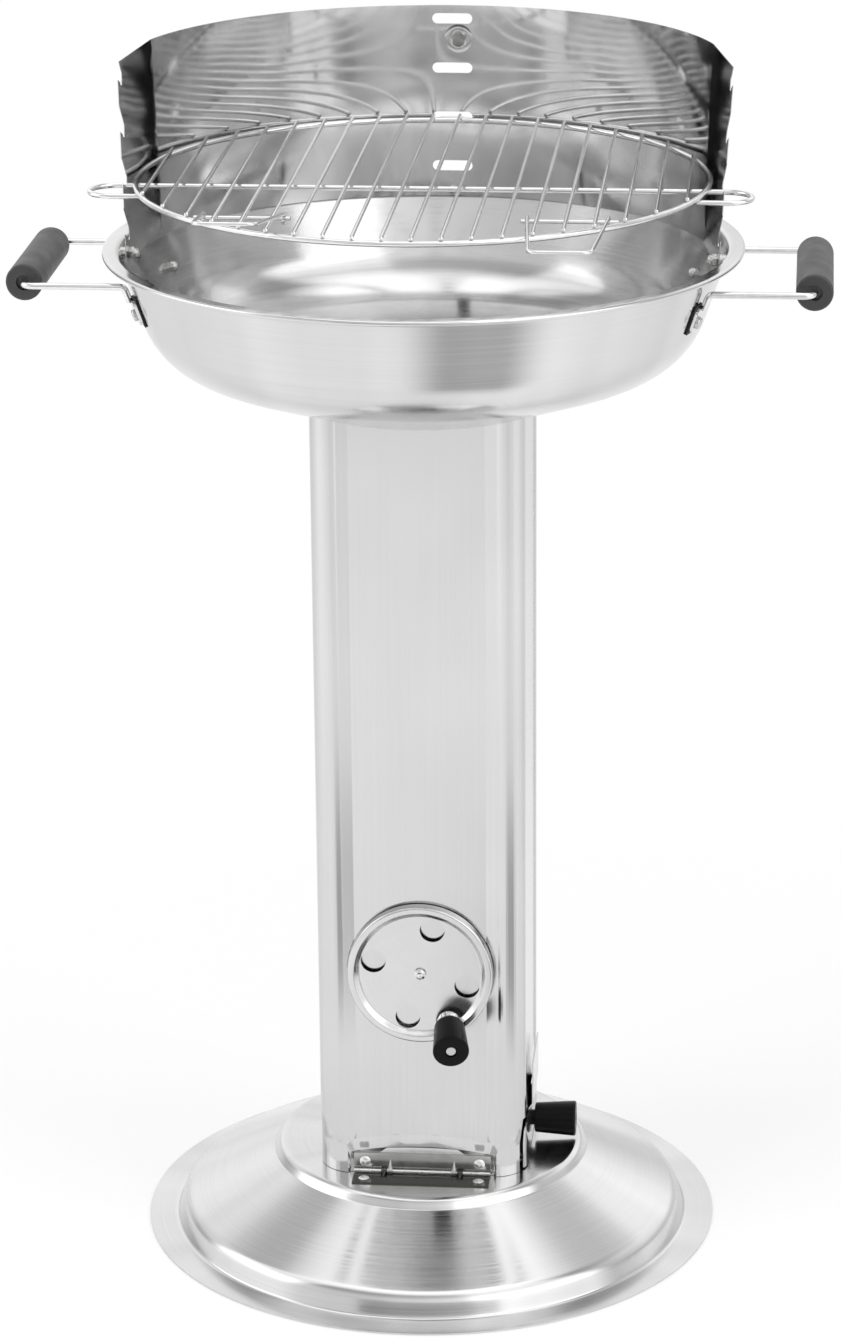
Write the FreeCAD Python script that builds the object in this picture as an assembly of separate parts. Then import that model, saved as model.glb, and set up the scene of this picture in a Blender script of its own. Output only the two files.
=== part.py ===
import FreeCAD, Part
import math
import os

# Park barbecue grill: a round pressed foot, a hinged sheet pillar, a fire bowl with a two-part wind
# shield, and a wire grate that hangs in the shield. Millimetres, degrees, +Z up, -Y is the front,
# +X is the right-hand side. The origin is the centre of the foot on the floor.

Vec = FreeCAD.Vector
UP = Vec(0, 0, 1)
RIGHT = Vec(1, 0, 0)
BACK = Vec(0, 1, 0)

# Gaps between pieces
fit_gap = 0.05            # pieces that touch or are screwed together
move_gap = 0.3            # pieces that move past each other

# Foot
foot_radius = 221.5
foot_sheet = 1.2
foot_crown_run = 6.0
foot_crown_height = 18.0
foot_rim_width = 22.5
platform_radius = 117.5
platform_height = 61.5
platform_skirt_width = 4.5
platform_skirt_drop = 7.5
foot_platform_bend = 6.0
foot_skirt_bend = 2.5
foot_crown_bend = 14.0
foot_rim_bend = 3.0

# Pillar
pillar_sheet = 1.0
column_radius = 14.0
column_x = 65.0
column_y = 62.0
panel_half_width = 77.6
panel_half_depth = 74.6
base_half_width = 80.0
base_half_depth = 76.0
base_corner_radius = 27.0
base_top = 85.0
column_start = 125.0

# Hinge between the foot and the pillar
pocket_half_width = 55.0
pocket_depth = 2.5
pocket_side_top = 80.0
pocket_arch = 5.0
pocket_arch_bend = 450.0
pocket_corner_bend = 8.0
pocket_side_growth = 1.0  # the pocket widens by this much per mm of its depth
pocket_top_growth = 3.6
pocket_run_out = 10.0
pin_radius = 1.3
knuckle_radius = 2.4
leaf_sheet = 1.2
leaf_half_width = 52.5
leaf_length = 15.8
leaf_top = 78.0
bare_pin_half = 22.5
knuckle_split_x = 27.0
knuckle_end_x = 31.5
pinch_radius = 2.0
pinch_tip_radius = 0.3
pinch_length = 9.0
leaf_rivet_x = 44.0
leaf_rivet_radius = 2.5
leaf_rivet_head_radius = 4.2
leaf_rivet_head = 1.3

# Vent disc on the pillar's front
vent_height = 230.0
vent_radius = 55.5
vent_sheet = 0.8
vent_dish_radius = 46.5
vent_dish_offset = 4.4
vent_bead_offset = 8.0
vent_bead_width = 4.8
vent_edge_offset = 1.3
vent_bend = 1.5
vent_bead_bend = 1.9
vent_hole_radius = 9.45
vent_hole_circle = 36.7
vent_hole_angle = 75.0
vent_closed_turn = 45.0
vent_rivet_radius = 2.5
vent_rivet_head_radius = 4.5
vent_rivet_head = 1.6
vent_rivet_tail = 1.2
vent_spacer_radius = 7.0
vent_knob_angle = -61.0
vent_knob_circle = 46.5
vent_knob_lean = 14.0
vent_pad_radius = 9.0
vent_pad_offset = 10.4
vent_screw_tail = 3.0

# Knobs on the vent disc and the ash drawer
knob_base_radius = 11.5
knob_end_radius = 13.8
knob_length = 32.0
knob_round = 1.6
knob_recess_radius = 4.6
knob_recess_depth = 3.0
knob_screw_radius = 2.0
knob_screw_head_radius = 3.6
knob_screw_head = 1.8

# Ash drawer in the pillar's right-hand foot
opening_half_width = 65.6
opening_top = 106.0
opening_depth = 20.0
door_half_width = 59.8
door_bottom = 62.8
door_top = 98.5
door_corner_bend = 6.0
tab_half_width = 30.0
tab_top = 137.0
tab_offset = 2.6
tab_root = 2.5
tab_joggle = 4.5
tab_bend = 1.5
ash_knob_height = 78.0
ash_knob_neck = 2.0
ash_neck_radius = 6.0
tray_sheet = 1.0
tray_half_width = 58.0
tray_height = 20.0
tray_back = -62.0
tray_corner = 20.0
tray_floor_gap = 1.5
rail_sheet = 1.0
rail_half_length = 55.0
rail_height = 8.0
rail_overlap = 6.0

# Fire bowl
rim_height = 776.0
bowl_sheet = 1.0
bowl_radius = 235.0
lip_roll_radius = 2.0
lip_width = 10.8
lip_bend = 2.5
bowl_depth = 115.0
bowl_wall_slant = 27.0
bowl_corner_depth = 79.25
bowl_corner_bend = 60.0
bowl_low_bend = 8.0
bowl_low_radius = 97.9
plateau_radius = 88.0
plateau_rise = 6.5
plateau_step_width = 6.0
plateau_bend = 3.0
air_hole_radius = 25.0
air_hole_cut_reach = 2.0

# Brackets and bolts between the pillar and the bowl
bracket_sheet = 2.0
bracket_half_width = 15.0
bracket_length = 20.0
bracket_drop = 22.0
bowl_bolt_x = 66.0
bowl_bolt_radius = 3.0
bowl_bolt_head_radius = 5.5
bowl_bolt_head = 3.2
bowl_nut_height = 5.0
bowl_bolt_tail = 3.0

# Wind shield
shield_sheet = 0.6
shield_bottom = -12.0
shield_top = 135.5
shield_wall_gap = 10.7
shield_flare = 5.5
shield_bend_angle = 18.0
shield_end_y = -24.0
shield_end_bottom_out = 3.0
shield_left_end_top_out = 5.5
shield_right_end_top_out = 12.5
seam_x = 4.0
seam_overlap = 42.0
seam_screw_x = 9.0
seam_screw_level = 110.0
seam_screw_tail = 5.5

# Grate levels: hooks at the shield's ends and slots behind
grate_levels = 4
level_pitch = 38.0
first_hook_bottom = 3.4
hook_wire_back = 8.2
hook_round_gap = 0.3
hook_tip_height = 5.5
hook_tip_back = 0.6
hook_wall_height = 9.0
hook_slant_height = 25.0
hook_cut_front = 3.0
hook_cut_reach = 20.0
slot_cut_reach = 30.0
first_slot_level = 11.4
slot_length = 31.0
slot_height = 8.0
grate_level = 1

# Cooking grate
ring_wire_radius = 2.2
ring_shield_gap = 2.5
cross_wire_radius = 2.0
cross_loop_reach = 31.0
cross_loop_width = 36.0
cross_loop_length = 42.0
bar_radius = 1.5
bar_pitch = 20.5
bar_end_share = 0.8
tab_wire_radius = 2.0
tab_leg_spacing = 20.0
tab_reach = 2.3
tab_wire_bend = 3.0

# Folding bails on the grate
crossbar_radius = 1.5
crossbar_ring_gap = 7.2
crossbar_length = 70.0
bail_wire_radius = 1.4
bail_crossbar_inset = 5.5
bail_width = 56.5
bail_ring_reach = 33.0
bail_taper = 7.0
bail_length = 106.0
bail_bend = 7.0
bail_leg_bend = 20.0
bail_eye_sweep = 260.0
left_bail_lift = 9.0

# Handles
handle_wire_radius = 2.5
handle_half_spacing = 70.0
handle_out = 51.0
handle_drop = 19.0
handle_bend = 8.0
handle_foot_bend = 5.0
handle_bolt_depth = 38.0
handle_tab_width = 12.0
handle_tab_below = 8.0
handle_tab_above = 11.0
handle_tab_sheet = 2.2
handle_tab_corner = 3.6
handle_wire_start = 7.7
handle_pad_sheet = 1.2
handle_pad_margin = 1.5
grip_radius = 13.5
grip_length = 122.0
grip_round = 2.0
grip_recess_radius = 5.5
grip_recess_depth = 3.0

# Bolts of the handles and the shield
small_bolt_radius = 2.5
small_bolt_head_radius = 4.6
small_bolt_head = 2.6
small_bolt_edge = 1.4
dome_nut_radius = 4.6
dome_nut_height = 3.6
dome_ball_radius = 3.9
dome_bore_depth = 5.1
shield_bolt_y = -15.0
shield_bolt_depth = 6.5
shield_spacer_radius = 4.0
shield_bolt_head = 3.2
shield_bolt_reach = 14.0

# Charcoal grate over the air hole
coal_ring_margin = 7.0
coal_ring_wire = 2.0
coal_bar_radius = 1.5
coal_bar_pitch = 15.0

# Sizes that follow from the driving dimensions
pillar_bottom = platform_height + move_gap
bowl_plateau_under = rim_height - bowl_depth + plateau_rise
bowl_plateau_top = bowl_plateau_under + bowl_sheet
bowl_wall_radius = bowl_radius - lip_width
bowl_corner_radius = bowl_wall_radius - bowl_wall_slant
bowl_wall_lean = (bowl_wall_radius - bowl_corner_radius) / (bowl_corner_depth - bowl_sheet)
shield_bottom_radius = bowl_wall_radius - shield_wall_gap
shield_lean = shield_flare / (shield_top - shield_bottom)
foot_rim_start = foot_radius - foot_rim_width
foot_crown_radius = foot_rim_start - foot_crown_run
handle_reach = bowl_radius + handle_out

pocket_floor = base_half_depth - pocket_depth
pin_y = -pocket_floor - move_gap - knuckle_radius
pin_z = platform_height + move_gap + knuckle_radius
panel_y = -panel_half_depth

cross_wire_y = shield_end_y + hook_wire_back
cross_wire_z = (rim_height + first_hook_bottom + grate_level * level_pitch
                + cross_wire_radius + hook_round_gap)
ring_z = cross_wire_z + cross_wire_radius + ring_wire_radius + fit_gap
ring_outer_radius = shield_bottom_radius - ring_shield_gap
ring_radius = ring_outer_radius - ring_wire_radius
bar_count = 2 * int(ring_radius / bar_pitch)
cross_loop_x = ring_outer_radius + cross_loop_reach
crossbar_y = bail_length - ring_outer_radius - bail_ring_reach
crossbar_inner_x = math.sqrt((ring_outer_radius - crossbar_ring_gap) ** 2 - crossbar_y ** 2) - crossbar_length
bail_inner_x = crossbar_inner_x + bail_crossbar_inset
bail_outer_x = bail_inner_x + bail_width
coal_ring_radius = plateau_radius - coal_ring_margin
bar_z = ring_z + ring_wire_radius + bar_radius + fit_gap
crossbar_z = bar_z - bar_radius - crossbar_radius - fit_gap
bail_eye_radius = max(crossbar_radius + move_gap + bail_wire_radius,
                      ring_z + ring_wire_radius + move_gap + bail_wire_radius - crossbar_z)


def line(start, end):
    return Part.LineSegment(start, end).toShape()


def arc(start, middle, end):
    return Part.Arc(start, middle, end).toShape()


def bent_path(points, bends):
    """Straight runs between points, joined at each inner point by a tangent arc of its bend radius."""
    edges = []
    last = points[0]
    for before, corner, after, bend in zip(points, points[1:], points[2:], bends[1:]):
        into = (corner - before).normalize()
        out = (after - corner).normalize()
        turn = into.getAngle(out)
        start = corner
        if bend > 0 and turn > 1e-4:
            reach = bend * math.tan(turn / 2)
            start = corner - into * reach
            end = corner + out * reach
        if last.distanceToPoint(start) > 1e-6:
            edges.append(line(last, start))
        last = start
        if bend > 0 and turn > 1e-4:
            inward = (out - into).normalize()
            middle = corner + inward * (bend / math.cos(turn / 2) - bend)
            edges.append(arc(start, middle, end))
            last = end
    edges.append(line(last, points[-1]))
    return edges


def corner_edges(corners, place):
    """Edges along (u, v, fillet) corners of a drawing, moved into space by place(u, v)."""
    points = [place(u, v) for u, v, fillet in corners]
    return bent_path(points, [fillet for u, v, fillet in corners])


def shifted(corners, distance):
    """Corners of the parallel line, `distance` to the left of the way the corners run."""
    moved = []
    last = len(corners) - 1
    for index, (u, v, fillet) in enumerate(corners):
        first = max(index - 1, 0)
        second = min(index, last - 1)
        into = math.atan2(corners[first + 1][1] - corners[first][1],
                          corners[first + 1][0] - corners[first][0])
        out = math.atan2(corners[second + 1][1] - corners[second][1],
                         corners[second + 1][0] - corners[second][0])
        scale = distance / (1 + math.cos(out - into))
        new_u = u - (math.sin(into) + math.sin(out)) * scale
        new_v = v + (math.cos(into) + math.cos(out)) * scale
        new_fillet = 0.0
        if fillet > 0:
            new_fillet = max(fillet - distance * math.copysign(1, math.sin(out - into)), 0.0)
        moved.append((new_u, new_v, new_fillet))
    return moved


def strip_face(corners, thickness, place):
    """Face between a line of corners and its parallel at the sheet's thickness."""
    far = shifted(corners, thickness)
    edges = corner_edges(corners, place)
    edges.append(line(place(*corners[-1][:2]), place(*far[-1][:2])))
    edges += corner_edges(far[::-1], place)
    edges.append(line(place(*far[0][:2]), place(*corners[0][:2])))
    return Part.Face(Part.Wire(edges))


def side_view(u, v):
    """Drawing plane of a turned piece: radius along X and height along Z."""
    return Vec(u, 0, v)


def union(shapes):
    whole = shapes[0]
    for shape in shapes[1:]:
        whole = whole.fuse(shape)
    return whole.removeSplitter()


def rod(points, bend, radius):
    """Round wire along points, bent with one radius."""
    return rod_on_path(bent_path(points, [bend] * len(points)), radius)


def rod_on_path(edges, radius):
    path = Part.Wire(edges)
    start = edges[0].Vertexes[0].Point
    direction = edges[0].tangentAt(edges[0].FirstParameter)
    section = Part.Wire(Part.makeCircle(radius, start, direction))
    return path.makePipeShell([section], True, False)


def cylinder(start, end, radius):
    return Part.makeCylinder(radius, start.distanceToPoint(end), start, end - start)


def tube(start, end, radius, bore):
    return cylinder(start, end, radius).cut(cylinder(start, end, bore))


def block(low, high):
    return Part.makeBox(high[0] - low[0], high[1] - low[1], high[2] - low[2], Vec(*low))


def mirrored(shape):
    """The same piece on the other side of the middle plane."""
    return shape.mirror(Vec(0, 0, 0), RIGHT)


def moved_to(shape, placement):
    placed = shape.copy()
    placed.Placement = placement.multiply(placed.Placement)
    return placed


def pointed(shape, origin, direction):
    """Move a piece drawn along +Z so that it starts at origin and points along direction."""
    return moved_to(shape, FreeCAD.Placement(origin, FreeCAD.Rotation(UP, direction)))


def on_wall(shape, azimuth, radius, height, lean):
    """Move a piece drawn with +Z outwards and +Y up onto a round wall that leans out by `lean`."""
    around = math.radians(azimuth)
    out = Vec(math.cos(around), math.sin(around), -lean).normalize()
    side = Vec(-math.sin(around), math.cos(around), 0)
    turn = FreeCAD.Rotation(side, out.cross(side), out, "ZXY")
    origin = Vec(radius * math.cos(around), radius * math.sin(around), height)
    return moved_to(shape, FreeCAD.Placement(origin, turn))


def save(node, shape):
    shape.exportStep("parts/" + node + ".step")
    print(node, "solids", len(shape.Solids), "valid", shape.isValid())


def save_many(node, shapes):
    save(node, Part.makeCompound(shapes))


# Foot


def foot_plate():
    """Pressed sheet: platform, skirt, cone, crown and a flat rim on the floor."""
    corners = [
        (0.0, platform_height, 0.0),
        (platform_radius, platform_height, foot_platform_bend),
        (platform_radius + platform_skirt_width, platform_height - platform_skirt_drop,
         foot_skirt_bend),
        (foot_crown_radius, foot_crown_height, foot_crown_bend),
        (foot_rim_start, foot_sheet, foot_rim_bend),
        (foot_radius, foot_sheet, 0.0),
    ]
    plate = strip_face(corners, -foot_sheet, side_view).revolve(Vec(0, 0, 0), UP, 360)
    for side in (-1, 1):
        plate = plate.cut(lower_rivet_shank(side, leaf_rivet_radius + fit_gap))
    return plate


def lower_rivet_place(side):
    return Vec(side * leaf_rivet_x, pin_y - knuckle_radius - leaf_length / 2, platform_height)


def lower_rivet_shank(side, radius):
    top = lower_rivet_place(side) + UP * (leaf_sheet + fit_gap)
    return cylinder(top - UP * (leaf_sheet + foot_sheet + 2 * fit_gap), top, radius)


def upper_rivet_place(side):
    return Vec(side * leaf_rivet_x, -pocket_floor, (pin_z + leaf_top) / 2)


def upper_rivet_shank(side, radius):
    front = upper_rivet_place(side) - BACK * (leaf_sheet + fit_gap)
    return cylinder(front + BACK * (leaf_sheet + pillar_sheet + 2 * fit_gap), front, radius)


def knuckle_bands(inner, outer):
    """Ends along X of a leaf's two knuckles; the pin is bare between the inner pair."""
    return [(-outer, -inner), (inner, outer)]


def knuckles(bands):
    return [cylinder(Vec(low, pin_y, pin_z), Vec(high, pin_y, pin_z), knuckle_radius)
            for low, high in bands]


def pinches(bands, run):
    """The pinched folds from which the knuckles rise: cones that run out on the leaf."""
    return [Part.makeCone(pinch_radius, pinch_tip_radius, pinch_length,
                          Vec((low + high) / 2, pin_y, pin_z), run) for low, high in bands]


def hinge_lower_leaf():
    """Leaf on the platform, with the two outer knuckles."""
    front = pin_y - knuckle_radius - leaf_length
    notch_edge = pin_y - knuckle_radius - move_gap
    top = platform_height + leaf_sheet
    plate = block((-leaf_half_width, front, platform_height), (leaf_half_width, notch_edge, top))
    bands = knuckle_bands(knuckle_split_x, knuckle_end_x)
    roots = [block((low, front, platform_height), (high, pin_y, top)) for low, high in bands]
    run = Vec(0, -pinch_length, top - pin_z)
    leaf = union([plate] + roots + knuckles(bands) + pinches(bands, run))
    leaf = leaf.cut(pin_rod(pin_radius + fit_gap))
    for side in (-1, 1):
        leaf = leaf.cut(lower_rivet_shank(side, leaf_rivet_radius + fit_gap))
    return leaf


def hinge_upper_leaf():
    """Leaf on the pillar, with a knuckle at each end of the bare pin."""
    back = -pocket_floor
    front = back - leaf_sheet
    notch_edge = pin_z + knuckle_radius + move_gap
    pieces = [block((-leaf_half_width, front, notch_edge), (leaf_half_width, back, leaf_top))]
    bands = knuckle_bands(bare_pin_half, knuckle_split_x - move_gap)
    for low, high in bands:
        pieces.append(block((low, front, pin_z), (high, back, leaf_top)))
    run = Vec(0, front - pin_y, pinch_length)
    leaf = union(pieces + knuckles(bands) + pinches(bands, run))
    leaf = leaf.cut(pin_rod(pin_radius + fit_gap))
    for side in (-1, 1):
        leaf = leaf.cut(upper_rivet_shank(side, leaf_rivet_radius + fit_gap))
    return leaf


def pin_rod(radius):
    return cylinder(Vec(-leaf_half_width, pin_y, pin_z), Vec(leaf_half_width, pin_y, pin_z), radius)


def rivet(shank, head_centre, direction):
    """Shank with a domed head; the head's flat side lies at head_centre."""
    ball_radius = (leaf_rivet_head_radius ** 2 + leaf_rivet_head ** 2) / (2 * leaf_rivet_head)
    ball = Part.makeSphere(ball_radius, Vec(0, 0, leaf_rivet_head - ball_radius))
    cap = ball.common(Part.makeCylinder(leaf_rivet_head_radius, leaf_rivet_head))
    return union([shank, pointed(cap, head_centre, direction)])


def lower_leaf_rivet(side):
    head = lower_rivet_place(side) + UP * (leaf_sheet + fit_gap)
    return rivet(lower_rivet_shank(side, leaf_rivet_radius), head, UP)


def upper_leaf_rivet(side):
    head = upper_rivet_place(side) - BACK * (leaf_sheet + fit_gap)
    return rivet(upper_rivet_shank(side, leaf_rivet_radius), head, BACK * -1)


# Pillar


def pillar_section(centre_x, centre_y, radius, half_x, half_y, level):
    """Closed outline with four flat sides and four round corners that may bulge past the sides."""
    crease_x = centre_x - math.sqrt(max(radius ** 2 - (half_y - centre_y) ** 2, 0))
    crease_y = centre_y - math.sqrt(max(radius ** 2 - (half_x - centre_x) ** 2, 0))
    slant = radius * math.sqrt(0.5)
    middle = (centre_x + slant, centre_y + slant)
    edges = []
    for sign_x, sign_y in ((1, -1), (1, 1), (-1, 1), (-1, -1)):
        on_side = Vec(sign_x * half_x, sign_y * crease_y, level)
        on_front = Vec(sign_x * crease_x, sign_y * half_y, level)
        through = Vec(sign_x * middle[0], sign_y * middle[1], level)
        start, end = on_front, on_side
        if sign_x * sign_y > 0:
            start, end = on_side, on_front
        edges.append((start, through, end))
    outline = []
    for index, (start, through, end) in enumerate(edges):
        outline.append(arc(start, through, end))
        outline.append(line(end, edges[(index + 1) % len(edges)][0]))
    return Part.Wire(outline)


def column_outline(inset, level):
    return pillar_section(column_x, column_y, column_radius - inset,
                          panel_half_width - inset, panel_half_depth - inset, level)


def base_outline(inset, level):
    return pillar_section(base_half_width - base_corner_radius, base_half_depth - base_corner_radius,
                          base_corner_radius - inset, base_half_width - inset,
                          base_half_depth - inset, level)


def pillar_body(inset):
    """Solid up to the pillar's outer face, or up to its inner face when inset by the sheet."""
    return Part.makeLoft([
        base_outline(inset, pillar_bottom - inset),
        base_outline(inset, base_top),
        column_outline(inset, column_start),
        column_outline(inset, rim_height),
    ], True, True)


def pocket_outline(inset, out):
    """Outline of the hinge pocket at a distance in front of its floor: an arch on two sides."""
    half = (pocket_half_width + pocket_side_growth * out
            + inset * math.tan(math.atan2(1, pocket_side_growth) / 2))
    side_top = (pocket_side_top + pocket_top_growth * out
                + inset * math.tan(math.atan2(1, pocket_top_growth) / 2))
    bottom = pillar_bottom - pocket_run_out
    y = -pocket_floor + inset - out
    points = [Vec(-half, y, bottom), Vec(-half, y, side_top), Vec(0, y, side_top + pocket_arch),
              Vec(half, y, side_top), Vec(half, y, bottom)]
    bends = [0.0, pocket_corner_bend, pocket_arch_bend, pocket_corner_bend, 0.0]
    return Part.Wire(bent_path(points, bends) + [line(points[-1], points[0])])


def hinge_pocket(inset):
    """Space of the pressed pocket for the hinge, grown by inset for the sheet's inner face."""
    return Part.makeLoft([
        pocket_outline(inset, 0.0),
        pocket_outline(inset, 2 * pocket_depth),
    ], True, True)


def pillar_walls():
    """The folded sheet before its openings are cut."""
    outside = pillar_body(0.0).cut(hinge_pocket(0.0))
    inside = pillar_body(pillar_sheet).cut(hinge_pocket(pillar_sheet))
    return outside.cut(inside)


def pillar_shell():
    walls = pillar_walls().cut(bowl_region(-fit_gap))
    walls = walls.cut(block((base_half_width - opening_depth, -opening_half_width, 0),
                            (2 * base_half_width, opening_half_width, opening_top)))
    for hole in vent_holes(vent_hole_angle + vent_closed_turn):
        walls = walls.cut(hole)
    walls = walls.cut(vent_axis_rod(-3 * pillar_sheet, vent_bead_offset, vent_rivet_radius + fit_gap))
    for side in (-1, 1):
        walls = walls.cut(upper_rivet_shank(side, leaf_rivet_radius + fit_gap))
    return walls


# Vent disc


def vent_point(out, across=0.0, up=0.0):
    """Point in front of the pillar's panel, measured from the disc's centre."""
    return Vec(across, panel_y - out, vent_height + up)


def vent_axis_rod(start, end, radius):
    return cylinder(vent_point(start), vent_point(end), radius)


def vent_holes(first_angle):
    """Cutters for the four air holes, through the disc and the panel behind it."""
    cutters = []
    for index in range(4):
        angle = math.radians(first_angle + 90.0 * index)
        across = vent_hole_circle * math.cos(angle)
        up = vent_hole_circle * math.sin(angle)
        start = vent_point(-3 * pillar_sheet, across, up)
        end = vent_point(2 * vent_bead_offset, across, up)
        cutters.append(cylinder(start, end, vent_hole_radius))
    return cutters


def vent_knob_axis():
    """Start and direction of the vent knob: it leans outwards from the disc's centre."""
    angle = math.radians(vent_knob_angle)
    lean = math.radians(vent_knob_lean)
    start = vent_point(vent_pad_offset, vent_knob_circle * math.cos(angle),
                       vent_knob_circle * math.sin(angle))
    direction = Vec(math.cos(angle) * math.sin(lean), -math.cos(lean),
                    math.sin(angle) * math.sin(lean))
    return start, direction


def vent_disc():
    """Dished disc with a rolled bead, four air holes and an oblique seat for its knob."""
    bead_start = vent_dish_radius + (vent_bead_offset - vent_dish_offset)
    corners = [
        (0.0, vent_dish_offset, 0.0),
        (vent_dish_radius, vent_dish_offset, vent_bend),
        (bead_start, vent_bead_offset, vent_bend),
        (bead_start + vent_bead_width, vent_bead_offset, vent_bead_bend),
        (vent_radius, vent_edge_offset, 0.0),
    ]
    face = strip_face(corners, -vent_sheet, lambda u, v: vent_point(v, u))
    disc = face.revolve(vent_point(0), BACK, 360)
    start, direction = vent_knob_axis()
    pad = cylinder(start - direction * vent_pad_offset, start, vent_pad_radius)
    behind = vent_dish_offset - vent_sheet
    reach = 2 * vent_radius
    front_half = block((-reach, panel_y - reach, vent_height - reach),
                       (reach, panel_y - behind, vent_height + reach))
    disc = union([disc, pad.common(front_half)])
    for hole in vent_holes(vent_hole_angle):
        disc = disc.cut(hole)
    disc = disc.cut(vent_axis_rod(0, vent_bead_offset, vent_rivet_radius + fit_gap))
    return disc.cut(cylinder(start - direction * vent_pad_offset, start,
                             knob_screw_radius + fit_gap))


def vent_rivet():
    """Pivot of the vent disc, with a flat head outside and a peened head behind the panel."""
    head_start = vent_dish_offset + move_gap
    shank = vent_axis_rod(-pillar_sheet - fit_gap, head_start, vent_rivet_radius)
    head = vent_axis_rod(head_start, head_start + vent_rivet_head, vent_rivet_head_radius)
    tail = vent_axis_rod(-pillar_sheet - fit_gap - vent_rivet_tail, -pillar_sheet - fit_gap,
                         vent_rivet_head_radius)
    return union([shank, head, tail])


def vent_spacer():
    end = vent_dish_offset - vent_sheet - move_gap
    return tube(vent_point(fit_gap), vent_point(end), vent_spacer_radius,
                vent_rivet_radius + fit_gap)


def knob(neck):
    """Tapered knob along +Z with a recess for its screw, on a neck of its own."""
    body = Part.makeCone(knob_base_radius, knob_end_radius, knob_length, Vec(0, 0, neck))
    body = body.makeFillet(knob_round, [edge for edge in body.Edges if edge.Closed])
    if neck > 0:
        body = union([body, Part.makeCylinder(ash_neck_radius, neck + knob_round)])
    end = neck + knob_length
    body = body.cut(Part.makeCylinder(knob_recess_radius, knob_recess_depth,
                                      Vec(0, 0, end - knob_recess_depth)))
    return body.cut(Part.makeCylinder(knob_screw_radius + fit_gap, end))


def knob_screw(neck, tail):
    """Screw from behind the sheet to the recess in the knob's end."""
    seat = neck + knob_length - knob_recess_depth
    shank = Part.makeCylinder(knob_screw_radius, seat + fit_gap + tail, Vec(0, 0, -tail))
    head = Part.makeCylinder(knob_screw_head_radius, knob_screw_head, Vec(0, 0, seat + fit_gap))
    return union([shank, head])


def vent_knob():
    start, direction = vent_knob_axis()
    return pointed(knob(0.0), start + direction * fit_gap, direction)


def vent_knob_screw():
    start, direction = vent_knob_axis()
    return pointed(knob_screw(0.0, vent_screw_tail), start + direction * fit_gap, direction)


# Ash drawer


def ash_drawer_front():
    """Piece of the pillar's wall that closes the opening, with a joggled tab above it."""
    near = base_half_width - opening_depth + move_gap
    points = [Vec(near, -door_half_width, door_bottom), Vec(near, -door_half_width, door_top),
              Vec(near, door_half_width, door_top), Vec(near, door_half_width, door_bottom)]
    edges = bent_path(points, [0.0, door_corner_bend, door_corner_bend, 0.0])
    outline = Part.Face(Part.Wire(edges + [line(points[-1], points[0])]))
    plate = pillar_walls().common(outline.extrude(RIGHT * base_half_width))
    slope = (base_half_width - panel_half_width) / (column_start - base_top)
    foot_x = base_half_width - pillar_sheet - slope * (door_top - base_top)
    tab_x = base_half_width + tab_offset - pillar_sheet
    corners = [
        (foot_x, door_top - tab_root, 0.0),
        (foot_x, door_top, tab_bend),
        (tab_x, door_top + tab_joggle, tab_bend),
        (tab_x, tab_top, 0.0),
    ]
    face = strip_face(corners, -pillar_sheet, lambda u, v: Vec(u, -tab_half_width, v))
    tab = face.extrude(BACK * (2 * tab_half_width))
    front = union([plate, tab])
    return front.cut(ash_screw_rod(knob_screw_radius + fit_gap))


def ash_screw_rod(radius):
    start = Vec(base_half_width - 3 * pillar_sheet, 0, ash_knob_height)
    return cylinder(start, Vec(base_half_width + 1, 0, ash_knob_height), radius)


def rounded_box(half_width, back, front, corner, bottom, top):
    """Upright box with round corners at its front end only."""
    corners = [
        Vec(back, -half_width, bottom),
        Vec(front, -half_width, bottom),
        Vec(front, half_width, bottom),
        Vec(back, half_width, bottom),
    ]
    edges = bent_path(corners, [0.0, corner, corner, 0.0])
    edges.append(line(corners[-1], corners[0]))
    return Part.Face(Part.Wire(edges)).extrude(UP * (top - bottom))


def tray_bottom():
    return pillar_bottom + tray_floor_gap + rail_sheet + move_gap


def ash_tray():
    """Open tray whose rounded front end lies against the drawer's front."""
    front = base_half_width - pillar_sheet - fit_gap
    bottom = tray_bottom()
    outside = rounded_box(tray_half_width, tray_back, front, tray_corner, bottom,
                          bottom + tray_height)
    inside = rounded_box(tray_half_width - tray_sheet, tray_back + tray_sheet, front - tray_sheet,
                         tray_corner - tray_sheet, bottom + tray_sheet, bottom + 2 * tray_height)
    return outside.cut(inside).cut(ash_screw_rod(knob_screw_radius + fit_gap))


def drawer_rail(side):
    """Angle welded inside the front (-1) or rear (1) wall, under the tray's edge."""
    wall = base_half_depth - pillar_sheet - fit_gap
    if side < 0:
        wall = pocket_floor - pillar_sheet - fit_gap
    top = tray_bottom() - move_gap
    inner = tray_half_width - rail_overlap
    flange = block((-rail_half_length, inner, top - rail_sheet), (rail_half_length, wall, top))
    web = block((-rail_half_length, wall - rail_sheet, top - rail_sheet),
                (rail_half_length, wall, top + rail_height))
    rail = union([flange, web])
    for end in (-1, 1):
        rivet_space = cylinder(Vec(end * leaf_rivet_x, wall - 2 * rail_sheet, upper_rivet_place(1).z),
                               Vec(end * leaf_rivet_x, wall + 1, upper_rivet_place(1).z),
                               leaf_rivet_radius + move_gap)
        rail = rail.cut(rivet_space)
    if side < 0:
        rail = rail.mirror(Vec(0, 0, 0), BACK)
    return rail


def ash_knob():
    return pointed(knob(ash_knob_neck), Vec(base_half_width + fit_gap, 0, ash_knob_height), RIGHT)


def ash_knob_screw():
    return pointed(knob_screw(ash_knob_neck, 2.5 * pillar_sheet),
                   Vec(base_half_width + fit_gap, 0, ash_knob_height), RIGHT)


# Fire bowl


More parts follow.
